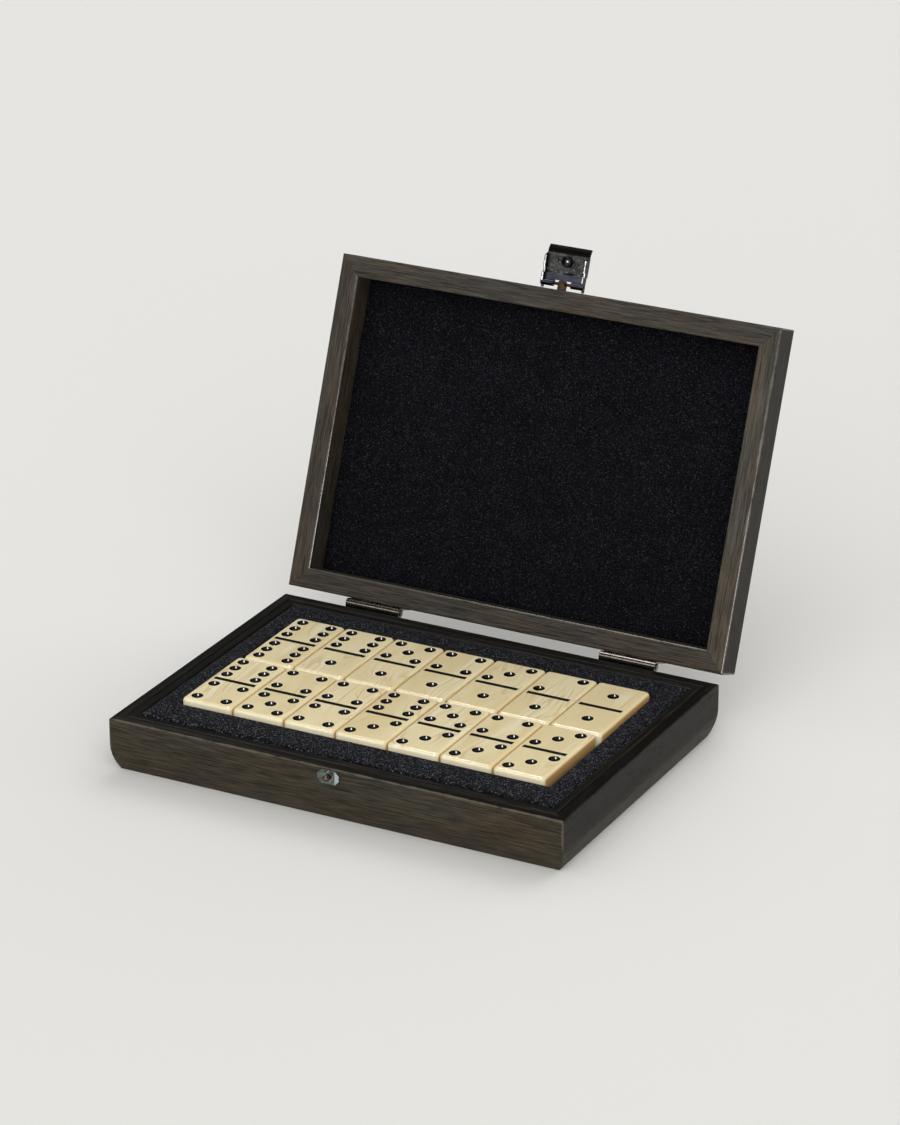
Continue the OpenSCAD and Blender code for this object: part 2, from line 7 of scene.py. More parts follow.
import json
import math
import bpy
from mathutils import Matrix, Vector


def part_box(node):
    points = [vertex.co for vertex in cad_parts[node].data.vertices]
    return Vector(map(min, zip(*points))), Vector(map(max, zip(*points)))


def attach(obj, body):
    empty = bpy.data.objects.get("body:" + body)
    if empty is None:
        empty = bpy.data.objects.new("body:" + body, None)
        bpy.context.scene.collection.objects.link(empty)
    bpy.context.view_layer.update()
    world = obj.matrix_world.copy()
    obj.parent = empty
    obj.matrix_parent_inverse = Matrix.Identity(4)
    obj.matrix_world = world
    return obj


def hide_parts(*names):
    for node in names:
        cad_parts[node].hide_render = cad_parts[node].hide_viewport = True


bl_info = {
    "name": "Domino storage box",
    "version": (1, 0, 0),
    "blender": (4, 5, 0),
    "location": "View3D > Sidebar > Domino box",
    "description": "Dresses a velvet-lined domino box and sets up its studio",
    "category": "Object",
}

from collections import namedtuple
from functools import wraps

import bmesh
import bpy
from bpy.props import FloatProperty, FloatVectorProperty, PointerProperty
from mathutils import Matrix, Vector, noise

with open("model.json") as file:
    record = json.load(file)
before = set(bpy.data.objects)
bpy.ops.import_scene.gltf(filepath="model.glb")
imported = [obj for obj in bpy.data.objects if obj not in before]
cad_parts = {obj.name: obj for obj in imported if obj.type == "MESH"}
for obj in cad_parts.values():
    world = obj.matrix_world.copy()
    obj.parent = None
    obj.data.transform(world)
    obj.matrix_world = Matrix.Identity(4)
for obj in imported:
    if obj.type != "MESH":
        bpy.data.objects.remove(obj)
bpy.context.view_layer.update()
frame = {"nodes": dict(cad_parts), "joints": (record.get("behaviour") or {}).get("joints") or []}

MM = 0.001

# The lid's hinge, and how far the rest pose holds the lid open
lid_joint = next(j for j in frame["joints"] if j["name"] == "lid_hinge")
latch_joint = next(j for j in frame["joints"] if j["name"] == "latch_hinge")
HINGE = Vector(lid_joint["pos_m"])
LATCH_PIN = Vector(latch_joint["pos_m"])
LID_ANGLE = -math.radians(lid_joint["range_deg"][0])
FLAP_ANGLE = -math.radians(latch_joint["range_deg"][0])

# Turns a point of the open lid to where it is with the lid closed, and back
CLOSING = (
    Matrix.Translation(HINGE) @ Matrix.Rotation(LID_ANGLE, 4, "X") @ Matrix.Translation(-HINGE)
)
OPENING = CLOSING.inverted()


def closed_box(node):
    """The lowest and highest corners of a lid node, with the lid closed."""
    points = [CLOSING @ v.co for v in frame["nodes"][node].data.vertices]
    low = Vector(min(p[k] for p in points) for k in range(3))
    high = Vector(max(p[k] for p in points) for k in range(3))
    return low, high


front_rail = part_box("base_front_rail")
lid_front = closed_box("lid_front_rail")
CASE_W = front_rail[1].x - front_rail[0].x
CASE_D = -2 * front_rail[0].y
RAIL_W = front_rail[1].y - front_rail[0].y
RIM_Z = front_rail[1].z
LINER_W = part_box("base_front_liner")[1].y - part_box("base_front_liner")[0].y
LID_RIM_Z = lid_front[0].z
LID_RAIL_W = lid_front[1].y - lid_front[0].y
VELVET_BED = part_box("base_velvet_bed")
POCKET_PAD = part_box("base_pocket_pad")
# Room between the pad and the wall of the pocket
PAD_GAP = 0.15 * MM

TILES = sorted(n for n in frame["nodes"] if n.startswith("domino_"))

# Half the width of the floor
FLOOR_REACH = 9
# Edges that turn more than this are rounded
SHARP = math.radians(30)
# Rounding of the edges of sheet metal, of rods and small parts, and of the strike plate
SHEET_EDGE, ROD_EDGE, PLATE_EDGE = 0.12 * MM, 0.10 * MM, 0.20 * MM
# Corners of the bed seen from above: at the mouth of the pocket, and how much tighter the
# outer ones are
MOUTH_CORNER, TIGHTENING = 1.5 * MM, 0.9 * MM
# Corners of a board in velvet: at its edge, and the least that they shrink to inwards
BOARD_CORNER, LEAST_CORNER = 1.2 * MM, 0.2 * MM
# Half the width of the last face in the middle of a board
LAST_STRIP = 0.3 * MM
# Rounding of the pad under the dominoes
PAD_ROLL = 0.35 * MM


# Settings


def swatch(name, description, default):
    """A colour that can be set."""
    return FloatVectorProperty(
        name=name, description=description, default=default, subtype="COLOR"
    )


def length(name, description, default):
    """A length that can be set."""
    return FloatProperty(name=name, description=description, default=default, unit="LENGTH")


def angle(name, description, default):
    """An angle that can be set."""
    return FloatProperty(name=name, description=description, default=default, subtype="ANGLE")


def fraction(name, description, default):
    """A share, from 0 to 1, that can be set."""
    return FloatProperty(name=name, description=description, default=default, subtype="FACTOR")


def number(name, description, default):
    """A plain number that can be set."""
    return FloatProperty(name=name, description=description, default=default)


class StageSettings(bpy.types.PropertyGroup):
    """The camera, the floor and the lamps."""

    azimuth: angle(
        "Azimuth", "Angle of the camera round the box from the front", math.radians(27.58)
    )
    elevation: angle("Elevation", "Angle of the camera above the horizon", math.radians(22.86))
    distance: length("Distance", "Distance from the camera to the point it looks at", 1.9597)
    aim: FloatVectorProperty(
        name="Aim",
        description="The point that the camera looks at",
        default=(-0.05236, 0.13017, 0.0267),
        subtype="TRANSLATION",
        precision=4,
    )
    lens: number("Lens", "Focal length of the camera in millimetres", 141.68)
    floor_color: swatch("Floor", "Colour of the pale floor", (0.755, 0.747, 0.718))
    backdrop_color: swatch("Backdrop", "Colour seen behind the floor", (0.785, 0.778, 0.748))
    ceiling: fraction(
        "Ceiling", "Share of the backdrop's brightness that shiny things see overhead", 0.06
    )
    sky: number("Sky", "Strength of the even light all round", 0.50)
    key: number("Key", "Strength of the soft light from beside the camera", 1.60)
    overhead: number("Overhead", "Strength of the soft light from above", 0.24)
    behind: number("Behind", "Strength of the soft light from behind the lid", 1.0)
    glints: number("Glints", "Brightness of the panels that only shiny things show", 15.0)


class WoodSettings(bpy.types.PropertyGroup):
    """The stained veneer of the case and the lid."""

    dark: swatch("Dark grain", "Stain in the dark bands of the veneer", (0.0105, 0.0078, 0.0050))
    light: swatch("Light grain", "Stain in the light bands of the veneer", (0.079, 0.0605, 0.036))
    worn: swatch("Worn edge", "Wood that shows where the edges are rubbed", (0.13, 0.108, 0.078))
    rim_shade: fraction("Rim shade", "How much darker the stain is on top of the case's rim", 0.16)
    # Painted shade: the outer faces at both ends are darkened
    painted_end_shade: fraction(
        "End shade", "How much darker the stain is on the outer faces at both ends", 0.30
    )
    edge_radius: length("Edge radius", "Rounding of the rails' edges", 0.18 * MM)


class VelvetSettings(bpy.types.PropertyGroup):
    """The velvet over the bed, in the pocket and in the lid."""

    ground: swatch("Ground", "Colour down between the pile", (0.0010, 0.0010, 0.0020))
    nap: swatch("Nap", "Colour at the tips of the pile", (0.0076, 0.0076, 0.0112))
    roll: length(
        "Roll", "Radius of the cloth where it turns over the outer edge of the bed", 1.8 * MM
    )
    mouth_roll: length(
        "Mouth roll", "Radius of the cloth where it turns into the pocket", 1.0 * MM
    )
    cell: length("Cell", "Spacing of the points that the cloth is made of", 2 * MM)
    softness: length("Softness", "Height of the unevenness of the cloth over its board", 0.12 * MM)


class DominoSettings(bpy.types.PropertyGroup):
    """Shape and colour of the dominoes."""

    corner_radius: length(
        "Corner radius", "Radius of a domino's corners seen from above", 2.2 * MM
    )
    edge_radius: length("Edge radius", "Radius of the edges round both faces", 1.7 * MM)
    pip_width: length("Pip width", "Diameter of a pip at the face", 5 * MM)
    pip_depth: length("Pip depth", "Depth of a pip", 0.9 * MM)
    column_step: length(
        "Column step", "Distance from the middle column of pips to an outer one", 6.9 * MM
    )
    row_step: length("Row step", "Distance from the middle row of pips to an outer one", 6.8 * MM)
    half_centre: length(
        "Half centre", "Distance from the dividing line to the middle of a half", 12.1 * MM
    )
    bar_length: length("Bar length", "Length of the dividing line", 19.5 * MM)
    bar_width: length("Bar width", "Width of the dividing line", 2.3 * MM)
    bar_depth: length("Bar depth", "Depth of the dividing line", 0.6 * MM)
    pale: swatch("Pale resin", "Light streaks of the pearl resin", (0.87, 0.755, 0.475))
    deep: swatch("Deep resin", "Dark streaks of the pearl resin", (0.80, 0.665, 0.385))
    # Painted shade and painted light on the dominoes' sides, by the way each side faces
    painted_shade_amber: swatch("Amber resin", "Tone of the sides that face right and back", (0.50, 0.25, 0.055))
    painted_light_cream: swatch("Cream resin", "Tone of the sides that face the front", (0.95, 0.90, 0.71))


class MetalSettings(bpy.types.PropertyGroup):
    """The hinges, the latch and the screws."""

    brass: swatch("Brass", "Darkened brass of the hinges and their screws", (0.045, 0.033, 0.022))
    gunmetal: swatch("Gunmetal", "Blackened metal of the latch flap", (0.028, 0.029, 0.028))
    nickel: swatch("Nickel", "Nickel of the strike plate", (0.26, 0.29, 0.27))
    band_length: length(
        "Blued band",
        "Length of the smooth blued band between the rod and the bend of the flap",
        4.4 * MM,
    )
    ring_height: length(
        "Ring height", "Height of the nickel ring round the foot of the stud", 0.4 * MM
    )
    ball_radius: length("Ball radius", "Radius of the ball of the stud", 1.2 * MM)
    lacquer: length("Lacquer", "How far the lacquer fills out the ball of the stud", 0.2 * MM)
    screw_head: length("Screw head", "Radius of a screw's head", 1.6 * MM)
    screw_shank: length("Screw shank", "Radius of a screw's shank", 0.8 * MM)
    screw_length: length("Screw length", "Length of a screw", 4.8 * MM)
    screw_slot: length("Screw slot", "Width of the slot in a screw's head", 0.5 * MM)


# Helpers for node trees


def put(tree, socket, value):
    """Links an input to another node's output, or sets it. Colours are opaque."""
    if isinstance(value, bpy.types.NodeSocket):
        tree.links.new(value, socket)
    elif socket.type == "RGBA":
        socket.default_value = (*value[:3], 1)
    else:
        socket.default_value = value


def place(tree, kind, inputs=None, **settings):
    """Adds a node, sets its options, and puts in the inputs given by name or number."""
    made = tree.nodes.new(kind)
    for key, value in settings.items():
        setattr(made, key, value)
    for key, value in (inputs or {}).items():
        put(tree, made.inputs[key], value)
    return made


def first(tree, kind, inputs=None, **settings):
    """Adds a node and gives back its first output."""
    return place(tree, kind, inputs, **settings).outputs[0]


def joined(tree, parts):
    """A vector of the parts given by number. The others are 0."""
    return first(tree, "ShaderNodeCombineXYZ", parts)


def parts_of(tree, vector):
    """The three parts of a vector."""
    return place(tree, "ShaderNodeSeparateXYZ", {0: vector}).outputs


def own_place(tree):
    """The piece's own coordinates."""
    return tree.nodes.new("ShaderNodeTexCoord").outputs["Object"]


def step(operation, kind="ShaderNodeMath"):
    """A function that adds one step of arithmetic to a tree, on numbers or on vectors."""

    def add(tree, *values):
        return first(tree, kind, dict(enumerate(values)), operation=operation)

    return add


plus, minus, times, over = (step(o) for o in ("ADD", "SUBTRACT", "MULTIPLY", "DIVIDE"))
least, most, size, above = (step(o) for o in ("MINIMUM", "MAXIMUM", "ABSOLUTE", "GREATER_THAN"))
power, remainder, whole_part = (step(o) for o in ("POWER", "MODULO", "FLOOR"))
moved, stretched = (step(o, "ShaderNodeVectorMath") for o in ("ADD", "MULTIPLY"))


def spread(tree, value, low, high, to_low=0.0, to_high=1.0, smooth=True):
    """Maps a value from one range to another and keeps it inside."""
    return first(
        tree,
        "ShaderNodeMapRange",
        {0: value, 1: low, 2: high, 3: to_low, 4: to_high},
        interpolation_type="SMOOTHSTEP" if smooth else "LINEAR",
    )


def tint(tree, factor, first, second, mode="MIX"):
    """Mixes two colours."""
    inputs = {0: factor, 6: first, 7: second}
    made = place(tree, "ShaderNodeMix", inputs, data_type="RGBA", blend_type=mode)
    return made.outputs[2]


def cloud(tree, vector, seed, scale=1.0, detail=3.0, roughness=0.5):
    """Seeded noise, from 0 to 1."""
    return first(
        tree,
        "ShaderNodeTexNoise",
        {"Vector": vector, "W": seed, "Scale": scale, "Detail": detail, "Roughness": roughness},
        noise_dimensions="4D",
    )


def new_group(name, kind, ins, outs):
    """An empty node group with named sockets, what it is given, and its output node."""
    group = bpy.data.node_groups.new(name, kind)
    for title, socket, default in ins:
        made = group.interface.new_socket(title, in_out="INPUT", socket_type=socket)
        if default is not None:
            made.default_value = default
    for title, socket in outs:
        group.interface.new_socket(title, in_out="OUTPUT", socket_type=socket)
    given = group.nodes.new("NodeGroupInput").outputs
    return group, given, group.nodes.new("NodeGroupOutput")


def finish(group, output, values):
    """Links values to the outputs of a node group."""
    for title, value in values.items():
        group.links.new(value, output.inputs[title])
    return group


FLOAT, COLOR, VECTOR = "NodeSocketFloat", "NodeSocketColor", "NodeSocketVector"
# What each shared shader group is given first, and what those of hard surfaces give back
PLACE_AND_SEED = [("Vector", VECTOR, None), ("Seed", FLOAT, 0.0)]
SURFACE = [("Color", COLOR), ("Roughness", FLOAT), ("Height", FLOAT)]


def shared(name):
    """Lets a function build its node group once, under this name, and find it afterwards."""

    def wrap(build):
        @wraps(build)
        def find():
            return bpy.data.node_groups.get(name) or build(name)

        return find

    return wrap


# Shared shader groups


@shared("Veneer grain")
def veneer_grain(name):
    """Straight open grain that runs along the vector's X."""
    group, given, out = new_group(
        name,
        "ShaderNodeTree",
        [
            *PLACE_AND_SEED,
            ("Dark", COLOR, (0.01, 0.008, 0.006, 1)),
            ("Light", COLOR, (0.03, 0.024, 0.018, 1)),
        ],
        SURFACE,
    )
    vector, seed = given["Vector"], given["Seed"]
    drift = cloud(group, stretched(group, vector, (9, 40, 40)), seed, detail=1)
    bend = joined(group, {1: times(group, drift, 0.0016)})
    vector = moved(group, vector, bend)

    def along(length, across, detail, roughness=0.5):
        """Noise in cells of this length along the grain and this width across it."""
        cell = (1 / length, 1 / across, 1 / across)
        return cloud(
            group, stretched(group, vector, cell), seed, detail=detail, roughness=roughness
        )

    bands = along(0.12, 0.0040, 2)
    fibres = along(0.013, 0.00044, 3, 0.6)
    hairs = along(0.010, 0.00034, 2)
    patches = along(0.014, 0.006, 2)
    hues = along(0.05, 0.012, 2)
    pores = spread(group, hairs, 0.55, 0.66)
    # The share of each in the tone is the top of its range
    tone = plus(
        group,
        spread(group, bands, 0.36, 0.64, 0.0, 0.10),
        plus(
            group,
            spread(group, fibres, 0.30, 0.70, 0.0, 0.77),
            spread(group, patches, 0.38, 0.62, 0.0, 0.13),
        ),
    )
    color = tint(group, tone, given["Dark"], given["Light"])
    ashen = tint(group, tone, (0.010, 0.0094, 0.0075), (0.061, 0.059, 0.046))
    color = tint(group, spread(group, hues, 0.4, 0.62, 0.0, 0.6), color, ashen)
    filled = times(group, pores, 0.6)
    color = tint(group, filled, color, (0.004, 0.003, 0.002))
    rough = plus(group, spread(group, tone, 0, 1, 0.40, 0.54, False), times(group, pores, 0.16))
    height = minus(group, times(group, fibres, 0.6), times(group, pores, 0.7))
    return finish(group, out, {"Color": color, "Roughness": rough, "Height": height})


@shared("Rubbed edges")
def rubbed_edges(name):
    """How rubbed a frame is: 1 at its outer and inner rim edges and its corners, 0 away."""
    group, given, out = new_group(
        name,
        "ShaderNodeTree",
        [
            *PLACE_AND_SEED,
            ("Half width", FLOAT, 0.1),
            ("Half depth", FLOAT, 0.07),
            ("Rim height", FLOAT, 0.02),
            ("Rail width", FLOAT, 0.009),
            ("Reach", FLOAT, 0.0009),
        ],
        [("Outer", FLOAT), ("Inner", FLOAT)],
    )
    parts = parts_of(group, given["Vector"])
    from_side = minus(group, given["Half width"], size(group, parts[0]))
    from_front = minus(group, given["Half depth"], size(group, parts[1]))
    inwards = least(group, from_side, from_front)
    corner = most(group, from_side, from_front)
    from_rim = size(group, minus(group, parts[2], given["Rim height"]))
    from_inner = size(group, minus(group, inwards, given["Rail width"]))
    outer = least(group, most(group, inwards, from_rim), corner)
    inner = most(group, from_inner, from_rim)
    patchy = cloud(group, given["Vector"], given["Seed"], scale=130, detail=4, roughness=0.65)
    reach = times(group, given["Reach"], spread(group, patchy, 0.3, 0.7, 0.3, 1.7, False))
    results = {}
    for title, distance in (("Outer", outer), ("Inner", inner)):
        share = over(group, distance, reach)
        results[title] = spread(group, share, 0.25, 1.0, 1.0, 0.0)
    return finish(group, out, results)


@shared("Velvet pile")
def velvet_pile(name):
    """Short pile that catches the light in single fibres."""
    group, given, out = new_group(
        name,
        "ShaderNodeTree",
        [
            *PLACE_AND_SEED,
            ("Ground", COLOR, (0.001, 0.001, 0.002, 1)),
            ("Nap", COLOR, (0.016, 0.017, 0.026, 1)),
            ("Glint", FLOAT, 1.0),
            ("Rarity", FLOAT, 3.0),
        ],
        [("Color", COLOR), ("Height", FLOAT)],
    )
    vector, seed = given["Vector"], given["Seed"]
    tufts = cloud(group, vector, seed, scale=1500, detail=2, roughness=0.6)
    brushed = cloud(group, vector, seed, scale=70, detail=3)
    tips = times(
        group, spread(group, tufts, 0.42, 0.64), spread(group, brushed, 0.3, 0.7, 0.6, 1.2, False)
    )
    color = tint(group, tips, given["Ground"], given["Nap"])
    shift = joined(group, {0: seed, 1: seed})
    cells = place(
        group,
        "ShaderNodeTexVoronoi",
        {"Vector": moved(group, vector, shift), "Scale": 1950.0},
        feature="F1",
    )
    dice = place(group, "ShaderNodeSeparateColor", {0: cells.outputs["Color"]}).outputs
    lucky = power(group, dice[0], given["Rarity"])
    close = spread(group, cells.outputs["Distance"], 0.15, 0.6, 1.0, 0.0)
    glint = times(group, times(group, lucky, close), given["Glint"])
    hue = tint(group, dice[1], (0.42, 0.47, 0.60), (0.57, 0.57, 0.52))
    color = tint(group, glint, color, hue)
    return finish(group, out, {"Color": color, "Height": tufts})


@shared("Pearl swirl")
def pearl_swirl(name):
    """Long swirling streaks of cast pearl resin, along the vector's Y."""
    group, given, out = new_group(
        name,
        "ShaderNodeTree",
        [
            *PLACE_AND_SEED,
            ("Pale", COLOR, (0.76, 0.66, 0.42, 1)),
            ("Deep", COLOR, (0.62, 0.5, 0.285, 1)),
        ],
        SURFACE,
    )
    vector, seed = given["Vector"], given["Seed"]
    sway = cloud(group, stretched(group, vector, (60, 28, 60)), seed, detail=1)
    swing = joined(
        group,
        {
            0: times(group, minus(group, sway, 0.5), 0.026),
            2: times(group, minus(group, sway, 0.5), 0.012),
        },
    )
    vector = moved(group, vector, swing)

    def along(across, length, detail):
        """Noise in cells of this width across the streaks and this length along them."""
        cell = (1 / across, 1 / length, 1 / across)
        return cloud(group, stretched(group, vector, cell), seed, detail=detail)

    body = along(0.012, 0.07, 2)
    pleats = along(0.0032, 0.09, 1)
    ridge = size(group, minus(group, times(group, pleats, 2.0), 1.0))
    color = tint(group, spread(group, body, 0.36, 0.64), given["Deep"], given["Pale"])
    where = spread(group, along(0.012, 0.03, 1), 0.46, 0.64)
    shade = times(group, spread(group, ridge, 0.0, 0.10, 1.0, 0.0), where)
    creased = times(group, shade, 0.42)
    color = tint(group, creased, color, (0.50, 0.34, 0.15))
    lit = times(group, spread(group, pleats, 0.56, 0.66), where)
    color = tint(group, times(group, lit, 0.5), color, (0.92, 0.85, 0.64))
    smear = cloud(group, given["Vector"], seed, scale=220, detail=2)
    rough = spread(group, smear, 0.35, 0.7, 0.14, 0.24, False)
    return finish(group, out, {"Color": color, "Roughness": rough, "Height": ridge})


@shared("Handled metal")
def handled_metal(name):
    """Plated sheet metal: fine pitting, tarnish and rubbed places."""
    group, given, out = new_group(
        name,
        "ShaderNodeTree",
        [
            ("Vector", VECTOR, None),
            ("Clean", COLOR, (0.6, 0.6, 0.6, 1)),
            ("Tarnish", COLOR, (0.2, 0.2, 0.2, 1)),
            ("Amount", FLOAT, 0.4),
            ("Smooth", FLOAT, 0.25),
            ("Dull", FLOAT, 0.45),
            ("Grit", FLOAT, 1500.0),
        ],
        SURFACE,
    )
    stains = cloud(group, given["Vector"], 0.0, scale=420, detail=4, roughness=0.6)
    pits = cloud(group, given["Vector"], 0.0, scale=given["Grit"], detail=2)
    mask = times(group, spread(group, stains, 0.38, 0.66), given["Amount"])
    color = tint(group, mask, given["Clean"], given["Tarnish"])
    rough = spread(group, stains, 0.3, 0.7, given["Smooth"], given["Dull"], False)
    return finish(group, out, {"Color": color, "Roughness": rough, "Height": pits})


# Materials


def new_material(name):
    """A material with its tree, shader and the piece's own coordinates."""
    material = bpy.data.materials.new(name)
    material.use_nodes = True
    tree = material.node_tree
    shader = tree.nodes["Principled BSDF"]
    return material, tree, shader, own_place(tree)


def use_group(tree, group, inputs):
    """Puts a shared group into a tree."""
    return place(tree, "ShaderNodeGroup", inputs, node_tree=group).outputs


def feed(tree, shader, color, roughness=None, height=None, strength=0.3, depth=0.0001):
    """Links colour, roughness and a bump made of the height."""
    tree.links.new(color, shader.inputs["Base Color"])
    if roughness is not None:
        tree.links.new(roughness, shader.inputs["Roughness"])
    if height is not None:
        bump = place(
            tree, "ShaderNodeBump", {"Strength": strength, "Distance": depth, "Height": height}
        )
        tree.links.new(bump.outputs[0], shader.inputs["Normal"])


def tune(shader, values):
    """Sets a shader's inputs by their names."""
    for title, value in values.items():
        shader.inputs[title].default_value = value


def veneer(
    name,
    seed,
    wood,
    along_y=False,
    on_lid=False,
    rubbed=(0.1, 0.4),
    polish=(0.0, 0.0),
    cast=(1, 1, 1),
    inner_edge=RAIL_W,
):
    """Stained veneer whose grain runs along X, or along Y, on the case or on the open lid.

    The case's rim is stained darker on top than its sides are. Both ends are darkened as
    painted shade. The outer and the inner edge of the rim are rubbed and polished by their own
    shares. The cast is painted light and shade laid over the stain, for how the light falls on
    each rail. The inner edge is that far in.
    """
    material, tree, shader, vector = new_material(name)
    if on_lid:
        shift = HINGE - CLOSING.to_3x3() @ HINGE
        vector = first(
            tree,
            "ShaderNodeMapping",
            {"Vector": vector, "Location": shift, "Rotation": (LID_ANGLE, 0, 0)},
        )
    grain_vector = vector
    if along_y:
        grain_vector = first(
            tree, "ShaderNodeMapping", {"Vector": vector, "Rotation": (0, 0, math.pi / 2)}
        )
    grain = use_group(
        tree,
        veneer_grain(),
        {"Vector": grain_vector, "Seed": seed, "Dark": wood.dark, "Light": wood.light},
    )
    edges = use_group(
        tree,
        rubbed_edges(),
        {
            "Vector": vector,
            "Seed": seed,
            "Half width": CASE_W / 2,
            "Half depth": CASE_D / 2,
            "Rim height": LID_RIM_Z if on_lid else RIM_Z,
            "Rail width": LID_RAIL_W if on_lid else inner_edge,
        },
    )
    # Painted light and shade: the cast brightens or darkens, warms or cools the whole rail for how
    # the light falls on it
    color = tint(tree, 1.0, grain["Color"], cast, "MULTIPLY")
    parts = parts_of(tree, vector)
    sideways = size(tree, parts[0])
    # Painted shade: the outer faces at both ends of a rail are darkened
    painted_end_mask = spread(tree, sideways, CASE_W / 2 - 0.5 * MM, CASE_W / 2 - 0.1 * MM)
    color = tint(tree, painted_end_mask, color, tint(tree, wood.painted_end_shade, (0, 0, 0), color))
    if not on_lid:
        on_top = spread(tree, parts[2], RIM_Z - 0.7 * MM, RIM_Z - 0.2 * MM)
        thin = stretched(tree, grain_vector, (11, 620, 620))
        lines = spread(tree, cloud(tree, thin, seed, detail=1), 0.5, 0.62, 0.6, 2.8)
        share = times(tree, lines, wood.rim_shade)
        darker = tint(tree, share, (0, 0, 0), color)
        color = tint(tree, on_top, color, darker)
    outer = times(tree, edges["Outer"], rubbed[0])
    inner = times(tree, edges["Inner"], rubbed[1])
    color = tint(tree, most(tree, outer, inner), color, wood.worn)
    feed(tree, shader, color, grain["Roughness"], grain["Height"], 0.5, 0.00015)
    if any(polish):
        sheen = most(
            tree, times(tree, edges["Outer"], polish[0]), times(tree, edges["Inner"], polish[1])
        )
        tree.links.new(sheen, shader.inputs["Coat Weight"])
        tune(shader, {"Coat Roughness": 0.12})
    tune(shader, {"Specular IOR Level": 0.14})
    return material


def velvet(name, seed, cloth, sheen, glint, rarity):
    """Blue-black velvet."""
    material, tree, shader, vector = new_material(name)
    pile = use_group(
        tree,
        velvet_pile(),
        {
            "Vector": vector,
            "Seed": seed,
            "Ground": cloth.ground,
            "Nap": cloth.nap,
            "Glint": glint,
            "Rarity": rarity,
        },
    )
    feed(tree, shader, pile["Color"], None, pile["Height"], 0.5, 0.0003)
    tune(
        shader,
        {
            "Roughness": 0.95,
            "Specular IOR Level": 0.05,
            "Sheen Weight": sheen,
            "Sheen Roughness": 0.45,
            "Sheen Tint": (0.70, 0.72, 0.85, 1),
        },
    )
    return material


def pearl_resin(settings):
    """Glossy cast resin with pearl streaks that differ from one domino to the next.

    Its right and back sides are painted a darker amber as painted shade, and its front sides
    a paler cream as painted light, by the way each face turns.
    """
    material, tree, shader, vector = new_material("pearl_resin")
    seed = place(tree, "ShaderNodeAttribute", attribute_name="pour").outputs["Fac"]
    swirl = use_group(
        tree,
        pearl_swirl(),
        {"Vector": vector, "Seed": seed, "Pale": settings.pale, "Deep": settings.deep},
    )
    # Painted shade and painted light: faces turned right or back are tinted amber, faces turned to
    # the front are tinted cream
    facing = tree.nodes.new("ShaderNodeTexCoord").outputs["Normal"]
    turned = parts_of(tree, facing)
    away = most(tree, turned[0], turned[1])
    away = spread(tree, away, 0.72, 0.98, 0.0, 0.8)
    color = tint(tree, away, swirl["Color"], settings.painted_shade_amber)
    lit_front_mask = spread(tree, turned[1], -0.95, -0.4, 0.5, 0.0)
    color = tint(tree, lit_front_mask, color, settings.painted_light_cream)
    feed(tree, shader, color, swirl["Roughness"], swirl["Height"], 0.25)
    tune(
        shader,
        {
            "Subsurface Weight": 0.30,
            "Subsurface Radius": (1.0, 0.70, 0.36),
            "Subsurface Scale": 0.0022,
            "Coat Weight": 0.3,
            "Coat Roughness": 0.05,
        },
    )
    return material


def line_paint():
    """Flat black paint in the dividing line."""
    material, tree, shader, vector = new_material("line_paint")
    haze = cloud(tree, vector, 4.0, scale=900, detail=2)
    feed(tree, shader, tint(tree, haze, (0.001, 0.001, 0.001), (0.006, 0.005, 0.004)))
    tune(shader, {"Roughness": 0.7, "Specular IOR Level": 0.1})
    return material


def pip_paint():
    """Black gloss paint in the pips."""
    material, tree, shader, vector = new_material("pip_paint")
    haze = cloud(tree, vector, 2.0, scale=700, detail=3)
    thin = spread(tree, haze, 0.35, 0.7)
    color = tint(tree, thin, (0.0015, 0.0013, 0.0012), (0.004, 0.0035, 0.003))
    rough = spread(tree, haze, 0.3, 0.7, 0.06, 0.11, False)
    feed(tree, shader, color, rough)
    tune(shader, {"Specular IOR Level": 0.8})
    return material


# How a metal is worn: the colour and the share of its tarnish, its roughness where it is
# smooth and where it is dull, and the fineness and the strength of its pitting
Wear = namedtuple("Wear", "tarnish share smooth dull grit bump")
BLACKED = Wear((0.012, 0.012, 0.014), 0.7, 0.26, 0.50, 2600.0, 1.0)
WEAR = {
    "brass": Wear((0.015, 0.011, 0.008), 0.8, 0.16, 0.32, 1100.0, 0.6),
    "gunmetal": BLACKED,
    "socket_metal": BLACKED,
    "rubbed_steel": Wear((0.14, 0.14, 0.14), 0.8, 0.20, 0.40, 1500.0, 0.1),
    "blued_steel": Wear((0.014, 0.014, 0.018), 0.5, 0.22, 0.36, 1500.0, 0.02),
    "rod_brass": Wear((0.012, 0.008, 0.006), 0.6, 0.25, 0.45, 1500.0, 0.1),
    "nickel": Wear((0.06, 0.085, 0.065), 0.8, 0.16, 0.30, 900.0, 0.5),
    "stud_bronze": Wear((0.04, 0.018, 0.012), 0.5, 0.24, 0.34, 1500.0, 0.1),
}


def metal(name, clean):
    """Plated metal of one colour, worn as its finish is."""
    wear = WEAR[name]
    material, tree, shader, vector = new_material(name)
    surface = use_group(
        tree,
        handled_metal(),
        {
            "Vector": vector,
            "Clean": clean,
            "Tarnish": wear.tarnish,
            "Amount": wear.share,
            "Smooth": wear.smooth,
            "Dull": wear.dull,
            "Grit": wear.grit,
        },
    )
    feed(tree, shader, surface["Color"], surface["Roughness"], surface["Height"], wear.bump)
    tune(shader, {"Metallic": 1.0})
    return material


def lacquer(material, roughness):
    """A clear coat over a finish."""
    shader = material.node_tree.nodes["Principled BSDF"]
    tune(shader, {"Coat Weight": 1.0, "Coat Roughness": roughness})


# Mesh helpers


def add_object(name, mesh):
    """A new object with its place in its mesh."""
    made = bpy.data.objects.new(name, mesh)
    bpy.context.scene.collection.objects.link(made)
    return made


